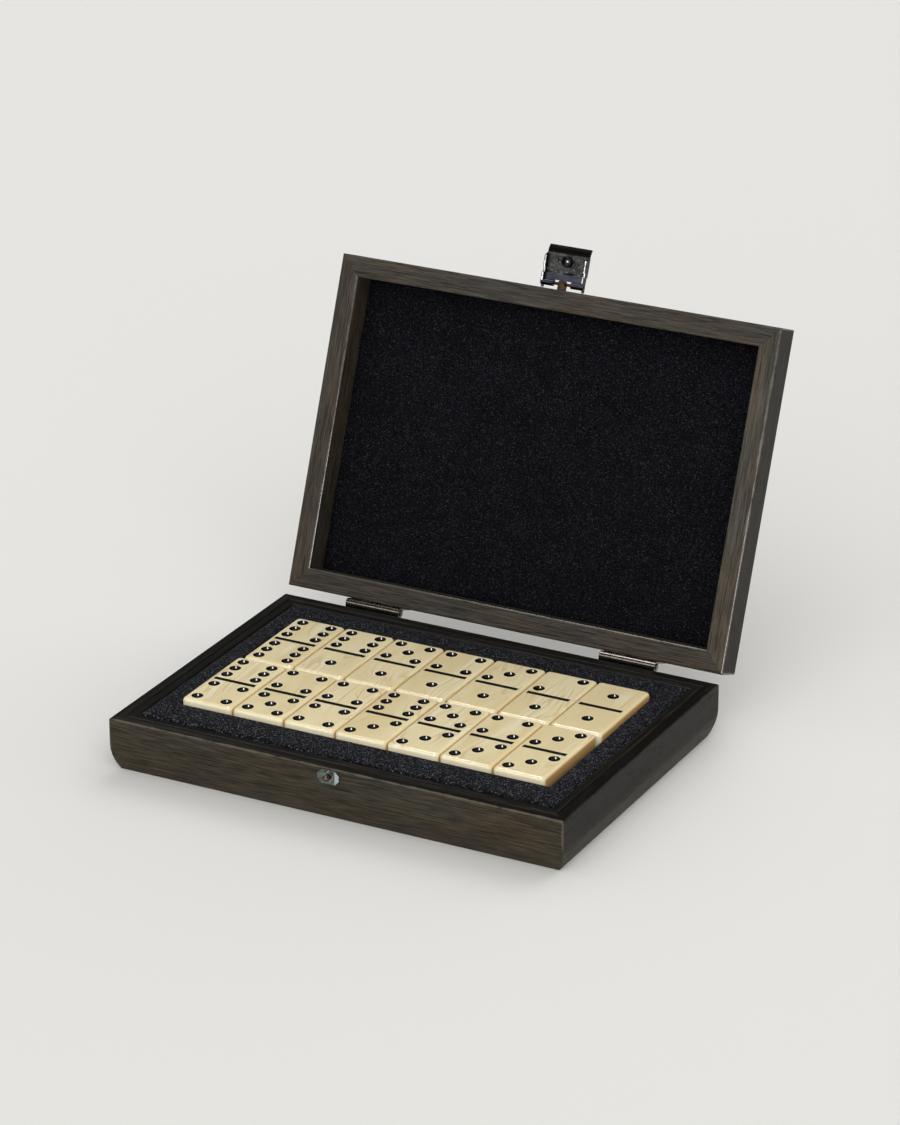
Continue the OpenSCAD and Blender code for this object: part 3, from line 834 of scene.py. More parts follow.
def set_inputs(modifier, values):
    """Sets a Geometry Nodes modifier's inputs by their sockets' identifiers."""
    for item in modifier.node_group.interface.items_tree:
        if item.in_out == "INPUT" and item.name in values:
            modifier[item.identifier] = values[item.name]


def plain_mesh(source, name):
    """The mesh of an object with its modifiers applied."""
    bpy.context.view_layer.update()
    graph = bpy.context.evaluated_depsgraph_get()
    mesh = bpy.data.meshes.new_from_object(source.evaluated_get(graph))
    mesh.name = name
    return mesh


def merged_copy(node):
    """A copy of a CAD node's mesh with its loose triangles joined into clean faces.

    Faces stay triangles where joining them would close a hole.
    """
    made = bmesh.new()
    made.from_mesh(frame["nodes"][node].data)
    bmesh.ops.remove_doubles(made, verts=made.verts, dist=1e-6)
    merged = made.copy()
    bmesh.ops.dissolve_limit(
        merged, angle_limit=math.radians(0.4), verts=merged.verts, edges=merged.edges
    )
    before = sum(face.calc_area() for face in made.faces)
    flat = merged.copy()
    bmesh.ops.triangulate(flat, faces=flat.faces)
    after = sum(face.calc_area() for face in flat.faces)
    mesh = bpy.data.meshes.new(node + "_copy")
    whole = abs(after - before) < 1e-3 * before
    (merged if whole else made).to_mesh(mesh)
    for work in (made, merged, flat):
        work.free()
    return mesh


def soften(name, mesh, radius, materials, rim_slot, segments):
    """Rounds the sharp edges of a mesh. The rounded strips take the material of rim_slot."""
    mesh.materials.clear()
    for material in materials:
        mesh.materials.append(material)
    for face in mesh.polygons:
        face.material_index = 0
    work = add_object(name + "_work", mesh)
    mesh.shade_smooth()
    bevel = work.modifiers.new("Edges", "BEVEL")
    bevel.width = radius
    bevel.segments = segments
    bevel.limit_method = "ANGLE"
    bevel.angle_limit = SHARP
    bevel.material = rim_slot
    bevel.use_clamp_overlap = True
    smooth = work.modifiers.new("Normals", "WEIGHTED_NORMAL")
    smooth.mode = "FACE_AREA"
    smooth.weight = 100
    smooth.keep_sharp = True
    made = plain_mesh(work, name)
    bpy.data.objects.remove(work)
    return add_object(name, made)


def rounded_outline(half_x, half_y, radius, corner_steps, cells_x=1, cells_y=1):
    """The points of a rounded rectangle, anticlockwise, its straight sides cut into cells."""
    corners = [(1, 1), (-1, 1), (-1, -1), (1, -1)]
    points = []
    for quarter, (sx, sy) in enumerate(corners):
        cx, cy = sx * (half_x - radius), sy * (half_y - radius)
        for k in range(corner_steps + 1):
            turn = math.pi / 2 * (quarter + k / corner_steps)
            points.append((cx + radius * math.cos(turn), cy + radius * math.sin(turn)))
        nx, ny = corners[(quarter + 1) % 4]
        turn = math.pi / 2 * (quarter + 1)
        end = Vector((nx * (half_x - radius), ny * (half_y - radius)))
        end += radius * Vector((math.cos(turn), math.sin(turn)))
        start = Vector(points[-1])
        cells = cells_x if quarter % 2 == 0 else cells_y
        points += [tuple(start.lerp(end, k / cells)) for k in range(1, cells)]
    return points


def join_rings(made, lower, upper):
    """Faces between two rings of the same number of points."""
    for k in range(len(lower)):
        n = (k + 1) % len(lower)
        made.faces.new((lower[k], lower[n], upper[n], upper[k]))


def dress(node, name, body, radius, materials, rim_slot=0, segments=2):
    """A softened, finished copy of a CAD node that stands for it."""
    made = soften(name, merged_copy(node), radius, materials, rim_slot, segments)
    stand_for(made, node, body)
    return made


def clad(node, name, body, wood, grain):
    """A rail, a strip or a board in its veneer."""
    dress(node, name, body, wood.edge_radius, [grain])


def stand_for(made, node, body):
    """Puts a finished piece in place of a CAD node."""
    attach(made, body)
    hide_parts(node)


# Operators


class DOMINOBOX_OT_stage(bpy.types.Operator):
    """Makes the camera, the pale floor, the sky and the lamps"""

    bl_idname = "dominobox.stage"
    bl_label = "Stage"

    def execute(self, context):
        stage = context.scene.domino_stage
        self.camera(context, stage)
        self.floor(stage)
        self.sky(context, stage)
        self.lamps(stage)
        context.scene.view_settings.view_transform = "Standard"
        return {"FINISHED"}

    def camera(self, context, stage):
        """A long lens that looks at the aim from its azimuth and elevation."""
        lens = bpy.data.cameras.new("camera")
        lens.lens = stage.lens
        lens.clip_start, lens.clip_end = 0.05, 50
        made = bpy.data.objects.new("camera", lens)
        context.scene.collection.objects.link(made)
        azimuth, elevation = stage.azimuth, stage.elevation
        back = Vector(
            (
                math.sin(azimuth) * math.cos(elevation),
                -math.cos(azimuth) * math.cos(elevation),
                math.sin(elevation),
            )
        )
        made.location = Vector(stage.aim) + back * stage.distance
        made.rotation_mode = "QUATERNION"
        made.rotation_quaternion = (-back).to_track_quat("-Z", "Y")
        context.scene.camera = made

    def floor(self, stage):
        """Pale matt paper, very slightly uneven in tone."""
        mesh = bpy.data.meshes.new("floor")
        ways = ((-1, -1), (1, -1), (1, 1), (-1, 1))
        corners = [(x * FLOOR_REACH, y * FLOOR_REACH, 0) for x, y in ways]
        mesh.from_pydata(corners, [], [(0, 1, 2, 3)])
        material, tree, shader, vector = new_material("floor_paper")
        shade = cloud(tree, vector, 0.0, scale=1.2, detail=2)
        pale = stage.floor_color
        color = tint(tree, shade, [0.985 * c for c in pale], pale)
        feed(tree, shader, color)
        tune(shader, {"Roughness": 0.9, "Specular IOR Level": 0.0})
        mesh.materials.append(material)
        add_object("floor", mesh)

    def sky(self, context, stage):
        """Even light, the pale backdrop, and a dim ceiling for what shines."""
        world = bpy.data.worlds.new("studio")
        world.use_nodes = True
        context.scene.world = world
        tree = world.node_tree
        tree.nodes.clear()
        path = tree.nodes.new("ShaderNodeLightPath").outputs
        seen = most(
            tree,
            path["Is Camera Ray"],
            most(tree, path["Is Glossy Ray"], path["Is Transmission Ray"]),
        )
        towards = tree.nodes.new("ShaderNodeTexCoord").outputs["Generated"]
        height = parts_of(tree, towards)[2]
        overhead = spread(tree, height, 0.0, 0.2)
        shines = times(tree, path["Is Glossy Ray"], overhead)
        dimming = spread(tree, shines, 0.0, 1.0, 1.0, stage.ceiling, False)
        light = place(tree, "ShaderNodeBackground", {"Color": (1, 1, 1, 1), "Strength": stage.sky})
        paper = place(
            tree,
            "ShaderNodeBackground",
            {"Color": (*stage.backdrop_color, 1), "Strength": dimming},
        )
        both = place(
            tree, "ShaderNodeMixShader", {0: seen, 1: light.outputs[0], 2: paper.outputs[0]}
        )
        out = tree.nodes.new("ShaderNodeOutputWorld")
        tree.links.new(both.outputs[0], out.inputs[0])

    def lamps(self, stage):
        """Three wide suns light everything, three panels only show in what shines.

        The front panel is a dim one, so that it leaves no hard sparks on small edges.
        """
        dim = 0.3 * stage.glints
        depth = (-math.sin(stage.azimuth), math.cos(stage.azimuth), 0)
        self.sun("overhead", (-0.15, 0.1, 1.0), stage.overhead, 100)
        self.sun("key", (0.30, -0.85, 0.64), stage.key, 75)
        self.sun("behind", (0.15, 0.80, 0.60), stage.behind, 60).visible_glossy = False
        self.panel("strip", (-0.38, 0.12, 1.38), depth, 0.24, 0.80, stage.glints)
        self.panel("front", (-0.42, -1.16, 0.84), (0, 0, 1), 0.80, 0.60, dim)
        self.panel("side", (1.35, -0.63, 0.16), (0, 0, 1), 0.30, 0.26, stage.glints)

    def sun(self, name, towards, strength, spread_deg):
        """A sun that stands in one direction from the box, as wide as an angle."""
        light = bpy.data.lights.new(name, "SUN")
        light.energy = strength
        light.angle = math.radians(spread_deg)
        return self.hang(light, towards, (0, 0, 1))

    def panel(self, name, at, upright, width, height, brightness):
        """A bright rectangle that only shiny things show."""
        light = bpy.data.lights.new(name, "AREA")
        light.shape = "RECTANGLE"
        light.size, light.size_y = width, height
        light.energy = brightness * math.pi * width * height
        self.hang(light, at, upright).visible_diffuse = False

    def hang(self, light, at, upright):
        """Puts a lamp at a point, shining at the box, its height along a direction."""
        made = bpy.data.objects.new(light.name, light)
        bpy.context.scene.collection.objects.link(made)
        made.location = at
        back = Vector(at).normalized()
        side = Vector(upright).cross(back).normalized()
        turn = Matrix((side, back.cross(side), back)).transposed()
        made.rotation_mode = "QUATERNION"
        made.rotation_quaternion = turn.to_quaternion()
        return made


# The rails in the order of their seeds. Those at the ends run along Y.
SIDES = ("front", "right", "back", "left")


class DOMINOBOX_OT_case(bpy.types.Operator):
    """Veneers the rails, the liner and the bottom of the case"""

    bl_idname = "dominobox.case"
    bl_label = "Case"

    def execute(self, context):
        wood = context.scene.domino_wood
        for index, side in enumerate(SIDES):
            share = {"front": 0.7, "right": 0.2}.get(side, 0.08)
            grain = veneer(
                f"veneer_case_{side}",
                3.1 + index,
                wood,
                index % 2 == 1,
                rubbed=(share, 0.2),
                # The case's rails other than the front are cast slightly darker and cooler:
                # painted shade
                cast=(1, 1, 1) if side == "front" else (0.95, 0.97, 1.05),
            )
            clad(f"base_{side}_rail", f"case_{side}_rail", "base", wood, grain)
            strip = veneer(
                f"veneer_liner_{side}",
                9.4 + index,
                wood,
                index % 2 == 1,
                rubbed=(0, 0.55),
                inner_edge=RAIL_W + LINER_W,
            )
            clad(f"base_{side}_liner", f"case_{side}_liner", "base", wood, strip)
        under = veneer("veneer_bottom", 17.0, wood)
        clad("base_bottom_panel", "case_bottom", "base", wood, under)
        return {"FINISHED"}


class DOMINOBOX_OT_lid(bpy.types.Operator):
    """Veneers the rails and the panel of the lid"""

    bl_idname = "dominobox.lid"
    bl_label = "Lid"

    def execute(self, context):
        wood = context.scene.domino_wood
        for index, side in enumerate(SIDES):
            grain = veneer(
                f"veneer_lid_{side}",
                23.3 + index,
                wood,
                index % 2 == 1,
                on_lid=True,
                # The right rail's outer edge is rubbed more: partly wear, partly a painted
                # highlight along that edge
                rubbed=(0.8 if side == "right" else 0.05, 0.22),
                polish={"left": (0, 1), "right": (1, 0.2)}.get(side, (0, 0.2)),
                # Painted light: the lid's rails are cast brighter, the right rail most, for the
                # sheen that the lid catches
                cast=(1.36, 1.39, 1.58) if side == "right" else (1.06, 1.06, 1.20),
            )
            clad(f"lid_{side}_rail", f"cover_{side}_rail", "lid", wood, grain)
        top = veneer("veneer_top", 31.0, wood, on_lid=True)
        clad("lid_panel", "cover_panel", "lid", wood, top)
        return {"FINISHED"}


class DOMINOBOX_OT_velvet(bpy.types.Operator):
    """Lays the velvet bed, the pad under the dominoes and the board in the lid"""

    bl_idname = "dominobox.velvet"
    bl_label = "Velvet"

    def execute(self, context):
        cloth = context.scene.domino_velvet
        plush = velvet("velvet_bed", 1.0, cloth, 0.05, 0.46, 4.0)
        self.bed(cloth, plush)
        pad = (*POCKET_PAD, PAD_ROLL)
        self.slab("pocket_pad", "base_pocket_pad", "base", pad, True, cloth, plush)
        calm = velvet("velvet_lid", 5.0, cloth, 0.03, 0.10, 6.0)
        board = (*closed_box("lid_velvet_board"), cloth.mouth_roll / 2)
        self.slab("lid_velvet", "lid_velvet_board", "lid", board, False, cloth, calm)
        return {"FINISHED"}

    def ruffle(self, x, y, seed, cloth):
        """How far the cloth stands above its lowest, at a place."""
        wide = noise.noise(Vector((x * 45, y * 45, seed)))
        fine = noise.noise(Vector((x * 190, y * 190, seed + 7)))
        return cloth.softness * (0.5 + 0.4 * wide + 0.25 * fine)

    def rings(self, made, outlines, low, high, back, way, seed, cloth):
        """Rings of points on outlines, sunk by the cloth's unevenness except at the back.

        An outline is given by its half width, half depth, corner radius and height.
        """
        centre = (low + high) / 2
        half_x, half_y = high.x - centre.x, high.y - centre.y
        cells = (round(2 * half_x / cloth.cell), round(2 * half_y / cloth.cell))
        found = []
        for across, along, corner, z in outlines:
            ring = []
            for x, y in rounded_outline(across, along, corner, 4, *cells):
                sink = 0 if z == back else cloth.softness - self.ruffle(x, y, seed, cloth)
                ring.append(made.verts.new((centre.x + x, centre.y + y, z - way * sink)))
            found.append(ring)
        return found

    def bed(self, cloth, material):
        """A frame of velvet round the pocket, rolled over at its outer edge and at the mouth."""
        low, high = VELVET_BED
        centre = (low + high) / 2
        outer_x, outer_y = high.x - centre.x, high.y - centre.y
        mouth_x = POCKET_PAD[1].x - centre.x + PAD_GAP
        mouth_y = POCKET_PAD[1].y - centre.y + PAD_GAP
        roll, mouth = cloth.roll, cloth.mouth_roll
        across = max(4, round((outer_x - mouth_x) / cloth.cell))
        turns = [math.pi / 2 * k / 5 for k in range(1, 6)]
        profile = [(outer_x, outer_y, low.z), (outer_x, outer_y, high.z - roll)]
        for turn in turns:
            inset = roll * (1 - math.cos(turn))
            fall = roll * (1 - math.sin(turn))
            profile.append((outer_x - inset, outer_y - inset, high.z - fall))
        for k in range(1, across):
            share = k / across
            half_x = (outer_x - roll) * (1 - share) + (mouth_x + mouth) * share
            half_y = (outer_y - roll) * (1 - share) + (mouth_y + mouth) * share
            profile.append((half_x, half_y, high.z))
        for turn in [0] + turns:
            inset = mouth * (1 - math.sin(turn))
            fall = mouth * (1 - math.cos(turn))
            profile.append((mouth_x + inset, mouth_y + inset, high.z - fall))
        profile.append((mouth_x, mouth_y, low.z))
        outlines = []
        for half_x, half_y, z in profile:
            corner = MOUTH_CORNER - TIGHTENING * (half_x - mouth_x) / (outer_x - mouth_x)
            outlines.append((half_x, half_y, corner, z))
        made = bmesh.new()
        rings = self.rings(made, outlines, low, high, low.z, 1, 3.0, cloth)
        for lower, upper in zip(rings, rings[1:] + rings[:1]):
            join_rings(made, lower, upper)
        self.lay(made, "velvet_bed", "base_velvet_bed", "base", material)

    def slab(self, name, node, body, bounds, face_up, cloth, material):
        """A flat board in velvet, rolled over round its soft face."""
        low, high, roll = bounds
        centre = (low + high) / 2
        half_x, half_y = high.x - centre.x, high.y - centre.y
        back, face = (low.z, high.z) if face_up else (high.z, low.z)
        way = 1 if face_up else -1
        profile = [(0.0, back), (0.0, face - way * roll)]
        for k in range(1, 5):
            turn = math.pi / 2 * k / 4
            inset = roll * (1 - math.cos(turn))
            profile.append((inset, face - way * roll * (1 - math.sin(turn))))
        inwards = roll + cloth.cell
        while inwards < half_y - cloth.cell:
            profile.append((inwards, face))
            inwards += cloth.cell
        profile.append((half_y - LAST_STRIP, face))
        outlines = []
        for inwards, z in profile:
            corner = max(LEAST_CORNER, BOARD_CORNER - inwards)
            outlines.append((half_x - inwards, half_y - inwards, corner, z))
        made = bmesh.new()
        rings = self.rings(made, outlines, low, high, back, way, 11.0, cloth)
        for lower, upper in zip(rings, rings[1:]):
            join_rings(made, lower, upper)
        made.faces.new(reversed(rings[0]))
        made.faces.new(rings[-1])
        if body == "lid":
            bmesh.ops.transform(made, matrix=OPENING, verts=made.verts)
        self.lay(made, name, node, body, material)

    def lay(self, made, name, node, body, material):
        """Turns the faces outwards and puts the cloth in place of its board."""
        bmesh.ops.recalc_face_normals(made, faces=made.faces)
        mesh = bpy.data.meshes.new(name)
        made.to_mesh(mesh)
        made.free()
        mesh.materials.append(material)
        mesh.shade_smooth()
        cloth = add_object(name, mesh)
        stand_for(cloth, node, body)


# The settings that say how the face of a domino is cut
PIP_SIZES = ("pip_width", "pip_depth", "column_step", "row_step", "half_centre")
CUT_SIZES = (*PIP_SIZES, "bar_length", "bar_width", "bar_depth")


class DOMINOBOX_OT_dominoes(bpy.types.Operator):
    """Casts the dominoes and drills their pips and dividing lines"""

    bl_idname = "dominobox.dominoes"
    bl_label = "Dominoes"

    def execute(self, context):
        sizes = context.scene.domino_set
        self.resin = pearl_resin(sizes)
        self.paint = pip_paint()
        self.line_paint = line_paint()
        self.cuts = {key.replace("_", " ").capitalize(): getattr(sizes, key) for key in CUT_SIZES}
        self.tree = self.drilling()
        for index, node in enumerate(TILES):
            self.cast(node, index, sizes)
        return {"FINISHED"}

    def drilling(self):
        """Cuts pips and the dividing line into a blank and paints them."""
        group, given, out = new_group(
            "Domino face",
            "GeometryNodeTree",
            [
                ("Blank", "NodeSocketGeometry", None),
                ("Middle of the face", VECTOR, None),
                ("Back dots", "NodeSocketInt", 6),
                ("Front dots", "NodeSocketInt", 6),
                *((title, FLOAT, value) for title, value in self.cuts.items()),
                ("Resin", "NodeSocketMaterial", None),
                ("Paint", "NodeSocketMaterial", None),
                ("Line paint", "NodeSocketMaterial", None),
            ],
            [("Domino", "NodeSocketGeometry")],
        )
        per_half = 7
        index = first(group, "GeometryNodeInputIndex")
        spot = remainder(group, index, per_half)
        half = whole_part(group, over(group, index, per_half))
        dots = self.pick(group, half, [given["Back dots"], given["Front dots"]])
        odd = remainder(group, dots, 2)
        needed = self.pick(group, spot, [0, 2, 2, 4, 4, 6, 6])
        enough = above(group, dots, minus(group, needed, 0.5))
        shown = self.pick(group, spot, [odd] + [enough] * (per_half - 1))
        column = self.pick(group, spot, [0, -1, 1, -1, 1, -1, 1])
        row = self.pick(group, spot, [0, -1, 1, 1, -1, 0, 0])
        towards = self.pick(group, half, [1, -1])
        x = times(group, column, given["Column step"])
        y = plus(
            group,
            times(group, row, given["Row step"]),
            times(group, towards, given["Half centre"]),
        )
        pip_ball = self.bowl_radius(group, given["Pip width"], given["Pip depth"])
        z = minus(group, pip_ball, given["Pip depth"])
        at = moved(group, joined(group, {0: x, 1: y, 2: z}), given["Middle of the face"])
        points = first(group, "GeometryNodePoints", {"Count": 2 * per_half, "Position": at})
        drill = self.drill(group, pip_ball, given["Pip depth"])
        pips = first(
            group,
            "GeometryNodeInstanceOnPoints",
            {"Points": points, "Selection": above(group, shown, 0.5), "Instance": drill},
        )
        cutter_r = self.bowl_radius(group, given["Bar width"], given["Bar depth"])
        saw = first(
            group,
            "GeometryNodeMeshCylinder",
            {"Vertices": 48, "Radius": cutter_r, "Depth": given["Bar length"]},
        )
        lift = joined(group, {2: minus(group, cutter_r, given["Bar depth"])})
        saw = first(
            group,
            "GeometryNodeTransform",
            {
                "Geometry": saw,
                "Translation": moved(group, lift, given["Middle of the face"]),
                "Rotation": (0, math.pi / 2, 0),
            },
        )
        pips = first(group, "GeometryNodeRealizeInstances", {0: pips})
        cutters = place(group, "GeometryNodeJoinGeometry")
        for cutter, paint in ((pips, "Paint"), (saw, "Line paint")):
            coated = first(
                group, "GeometryNodeSetMaterial", {"Geometry": cutter, "Material": given[paint]}
            )
            group.links.new(coated, cutters.inputs[0])
        cutters = cutters.outputs[0]
        carved = first(
            group,
            "GeometryNodeMeshBoolean",
            {"Mesh 1": given["Blank"], "Mesh 2": cutters},
            operation="DIFFERENCE",
            solver="EXACT",
        )
        whole = first(group, "GeometryNodeRealizeInstances", {0: carved})
        painted = [
            first(group, "GeometryNodeMaterialSelection", {0: given[paint]})
            for paint in ("Paint", "Line paint")
        ]
        bare = first(group, "FunctionNodeBooleanMath", dict(enumerate(painted)), operation="NOR")
        done = first(
            group,
            "GeometryNodeSetMaterial",
            {"Geometry": whole, "Selection": bare, "Material": given["Resin"]},
        )
        return finish(group, out, {"Domino": done})

    def pick(self, group, index, items):
        """The item that a number picks from a list."""
        made = place(group, "GeometryNodeIndexSwitch", data_type="FLOAT")
        while len(made.index_switch_items) < len(items):
            made.index_switch_items.new()
        for socket, item in zip(made.inputs, [index, *items]):
            put(group, socket, item)
        return made.outputs[0]

    def bowl_radius(self, group, width, depth):
        """Radius of the ball or rod that cuts a hollow of this width and depth."""
        half = over(group, width, 2.0)
        squares = plus(group, times(group, half, half), times(group, depth, depth))
        return over(group, squares, times(group, depth, 2.0))

    def drill(self, group, radius, depth):
        """A ball whose upper part closes to a point just above the face."""
        ball = first(
            group, "GeometryNodeMeshUVSphere", {"Segments": 40, "Rings": 48, "Radius": radius}
        )
        height = parts_of(group, first(group, "GeometryNodeInputPosition"))[2]
        level = minus(group, times(group, depth, 1.35), radius)
        peak = joined(group, {2: level})
        closed = first(
            group,
            "GeometryNodeSetPosition",
            {"Geometry": ball, "Selection": above(group, height, level), "Position": peak},
        )
        return first(group, "GeometryNodeMergeByDistance", {"Geometry": closed, "Distance": 1e-7})

    def blank(self, low, high, sizes):
        """A rounded block, closed, made of rounded rectangles stacked up."""
        centre, half = (low + high) / 2, (high - low) / 2
        corner_steps, edge_steps = 8, 6
        made = bmesh.new()
        rings = []
        for side in (-1, 1):
            turns = range(edge_steps + 1)
            for k in turns if side < 0 else reversed(turns):
                turn = math.pi / 2 * k / edge_steps
                inset = sizes.edge_radius * (1 - math.sin(turn))
                z = side * (half.z - sizes.edge_radius * (1 - math.cos(turn)))
                outline = rounded_outline(
                    half.x - inset, half.y - inset, sizes.corner_radius - inset, corner_steps
                )
                rings.append([made.verts.new(centre + Vector((x, y, z))) for x, y in outline])
        for lower, upper in zip(rings, rings[1:]):
            join_rings(made, lower, upper)
        made.faces.new(list(reversed(rings[0])))
        made.faces.new(rings[-1])
        mesh = bpy.data.meshes.new("blank")
        made.to_mesh(mesh)
        made.free()
        mesh.materials.append(self.resin)
        return mesh

    def cast(self, node, index, sizes):
        """One domino in place of its node, with the dots that the node's name gives."""
        low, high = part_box(node)
        back, front = (int(n) for n in node.split("_")[1:])
        work = add_object("blank", self.blank(low, high, sizes))
        modifier = work.modifiers.new("Face", "NODES")
        modifier.node_group = self.tree
        middle = ((low.x + high.x) / 2, (low.y + high.y) / 2, high.z)
        values = {
            "Middle of the face": middle,
            "Back dots": back,
            "Front dots": front,
            **self.cuts,
            "Resin": self.resin,
            "Paint": self.paint,
            "Line paint": self.line_paint,
        }
        set_inputs(modifier, values)
        mesh = plain_mesh(work, f"tile_{back}_{front}")
        bpy.data.objects.remove(work)
        mesh.shade_smooth()
        mesh.set_sharp_from_angle(angle=math.radians(28))
        pour = mesh.attributes.new("pour", "FLOAT", "POINT")
        pour.data.foreach_set("value", [index * 3.7] * len(mesh.vertices))
        work = add_object("shading", mesh)
        even = work.modifiers.new("Normals", "WEIGHTED_NORMAL")
        even.weight = 100
        even.keep_sharp = True
        made = add_object(f"tile_{back}_{front}", plain_mesh(work, f"tile_{back}_{front}"))
        bpy.data.objects.remove(work)
        stand_for(made, node, f"tile_{back}_{front}")


# Screws


@shared("Slotted screws")
def screw_tree(name):
    """Countersunk screws with slotted heads, one on each point, each turned its own way."""
    group, given, out = new_group(
        name,
        "GeometryNodeTree",
        [
            ("Points", "NodeSocketGeometry", None),
            ("Rotation", "NodeSocketRotation", None),
            ("Head radius", FLOAT, 0.0016),
            ("Shank radius", FLOAT, 0.0008),
            ("Length", FLOAT, 0.0048),
            ("Slot width", FLOAT, 0.0005),
            ("Seed", "NodeSocketInt", 1),
            ("Metal", "NodeSocketMaterial", None),
        ],
        [("Screws", "NodeSocketGeometry")],
    )
    head_height = minus(group, given["Head radius"], given["Shank radius"])

    def lifted(geometry, height):
        """The geometry moved straight up."""
        shift = joined(group, {2: height})
        return first(group, "GeometryNodeTransform", {"Geometry": geometry, "Translation": shift})

    head = first(
        group,
        "GeometryNodeMeshCone",
        {
            "Vertices": 40,
            "Radius Top": given["Head radius"],
            "Radius Bottom": given["Shank radius"],
            "Depth": head_height,
        },
    )
    head = lifted(head, times(group, head_height, -1.0))
    tip_height = minus(group, given["Length"], given["Shank radius"])
    shank_height = minus(group, tip_height, times(group, head_height, 0.5))
    shank = first(
        group,
        "GeometryNodeMeshCone",
        {
            "Vertices": 24,
            "Radius Top": times(group, given["Shank radius"], 0.98),
            "Radius Bottom": times(group, given["Shank radius"], 0.45),
            "Depth": shank_height,
        },
    )
    shank = lifted(shank, times(group, tip_height, -1.0))
    slot_size = joined(
        group,
        {
            0: times(group, given["Head radius"], 2.4),
            1: given["Slot width"],
            2: times(group, head_height, 0.9),
        },
    )
    slot = first(group, "GeometryNodeMeshCube", {"Size": slot_size})
    whole = place(group, "GeometryNodeMeshBoolean", operation="UNION", solver="EXACT")
    group.links.new(head, whole.inputs["Mesh 2"])
    group.links.new(shank, whole.inputs["Mesh 2"])
    slotted = first(
        group,
        "GeometryNodeMeshBoolean",
        {"Mesh 1": whole.outputs[0], "Mesh 2": slot},
        operation="DIFFERENCE",
        solver="EXACT",
    )
    turn = first(
        group,
        "FunctionNodeRandomValue",
        {"Min": (0, 0, 0), "Max": (0, 0, math.pi), "Seed": given["Seed"]},
        data_type="FLOAT_VECTOR",
    )
    facing = first(
        group,
        "FunctionNodeRotateRotation",
        {
            "Rotation": given["Rotation"],
            "Rotate By": first(group, "FunctionNodeEulerToRotation", {0: turn}),
        },
        rotation_space="LOCAL",
    )
    screws = first(
        group,
        "GeometryNodeInstanceOnPoints",
        {"Points": given["Points"], "Instance": slotted, "Rotation": facing},
    )
    screws = first(group, "GeometryNodeRealizeInstances", {0: screws})
    screws = first(
        group, "GeometryNodeSetMaterial", {"Geometry": screws, "Material": given["Metal"]}
    )
    return finish(group, out, {"Screws": screws})


def drive_screws(node, name, body, outwards, material, seed, metals):
    """Slotted screws in place of a node's plain ones. Outwards is where their heads face."""
    corners = [v.co for v in frame["nodes"][node].data.vertices]
    rows = []
    for corner in sorted(corners, key=lambda c: c.x):
        if rows and corner.x - rows[-1][-1].x < metals.screw_head / 2:
            rows[-1].append(corner)
        else:
            rows.append([corner])
    heads = []
    for row in rows:
        top = max(c.dot(outwards) for c in row)
        rim = [c for c in row if c.dot(outwards) > top - 0.01 * MM]
        across = outwards.cross(Vector((1, 0, 0)))
        x = (min(c.x for c in rim) + max(c.x for c in rim)) / 2
        side = (min(c.dot(across) for c in rim) + max(c.dot(across) for c in rim)) / 2
        heads.append(Vector((x, 0, 0)) + side * across + top * outwards)
    mesh = bpy.data.meshes.new(name)
    mesh.from_pydata(heads, [], [])
    work = add_object("screw_places", mesh)
    modifier = work.modifiers.new("Screws", "NODES")
    modifier.node_group = screw_tree()
    values = {
        "Rotation": tuple(outwards.to_track_quat("Z", "X").to_euler()),
        "Head radius": metals.screw_head,
        "Shank radius": metals.screw_shank,
        "Length": metals.screw_length,
        "Slot width": metals.screw_slot,
        "Seed": seed,
        "Metal": material,
    }
    set_inputs(modifier, values)
    done = plain_mesh(work, name)
    bpy.data.objects.remove(work)
    stand_for(add_object(name, done), node, body)


class DOMINOBOX_OT_hinges(bpy.types.Operator):
    """Plates the hinges and drives their screws"""

    bl_idname = "dominobox.hinges"
    bl_label = "Hinges"

    def execute(self, context):
        metals = context.scene.domino_metal
        brass = metal("brass", metals.brass)
        lacquer(brass, 0.10)
        for side in ("left", "right"):
            for part, body in (("base_leaf", "base"), ("lid_leaf", "lid"), ("pin", "base")):
                name = f"{side}_{part}"
                dress(f"{side}_hinge_{part}", name, body, SHEET_EDGE, [brass])
        back = Vector((0, 1, 0))
        for body, outwards, seed in (("base", back, 3), ("lid", OPENING.to_3x3() @ back, 8)):
            node, name = f"{body}_hinge_screws", f"{body}_leaf_screws"
            drive_screws(node, name, body, outwards, brass, seed, metals)
        return {"FINISHED"}


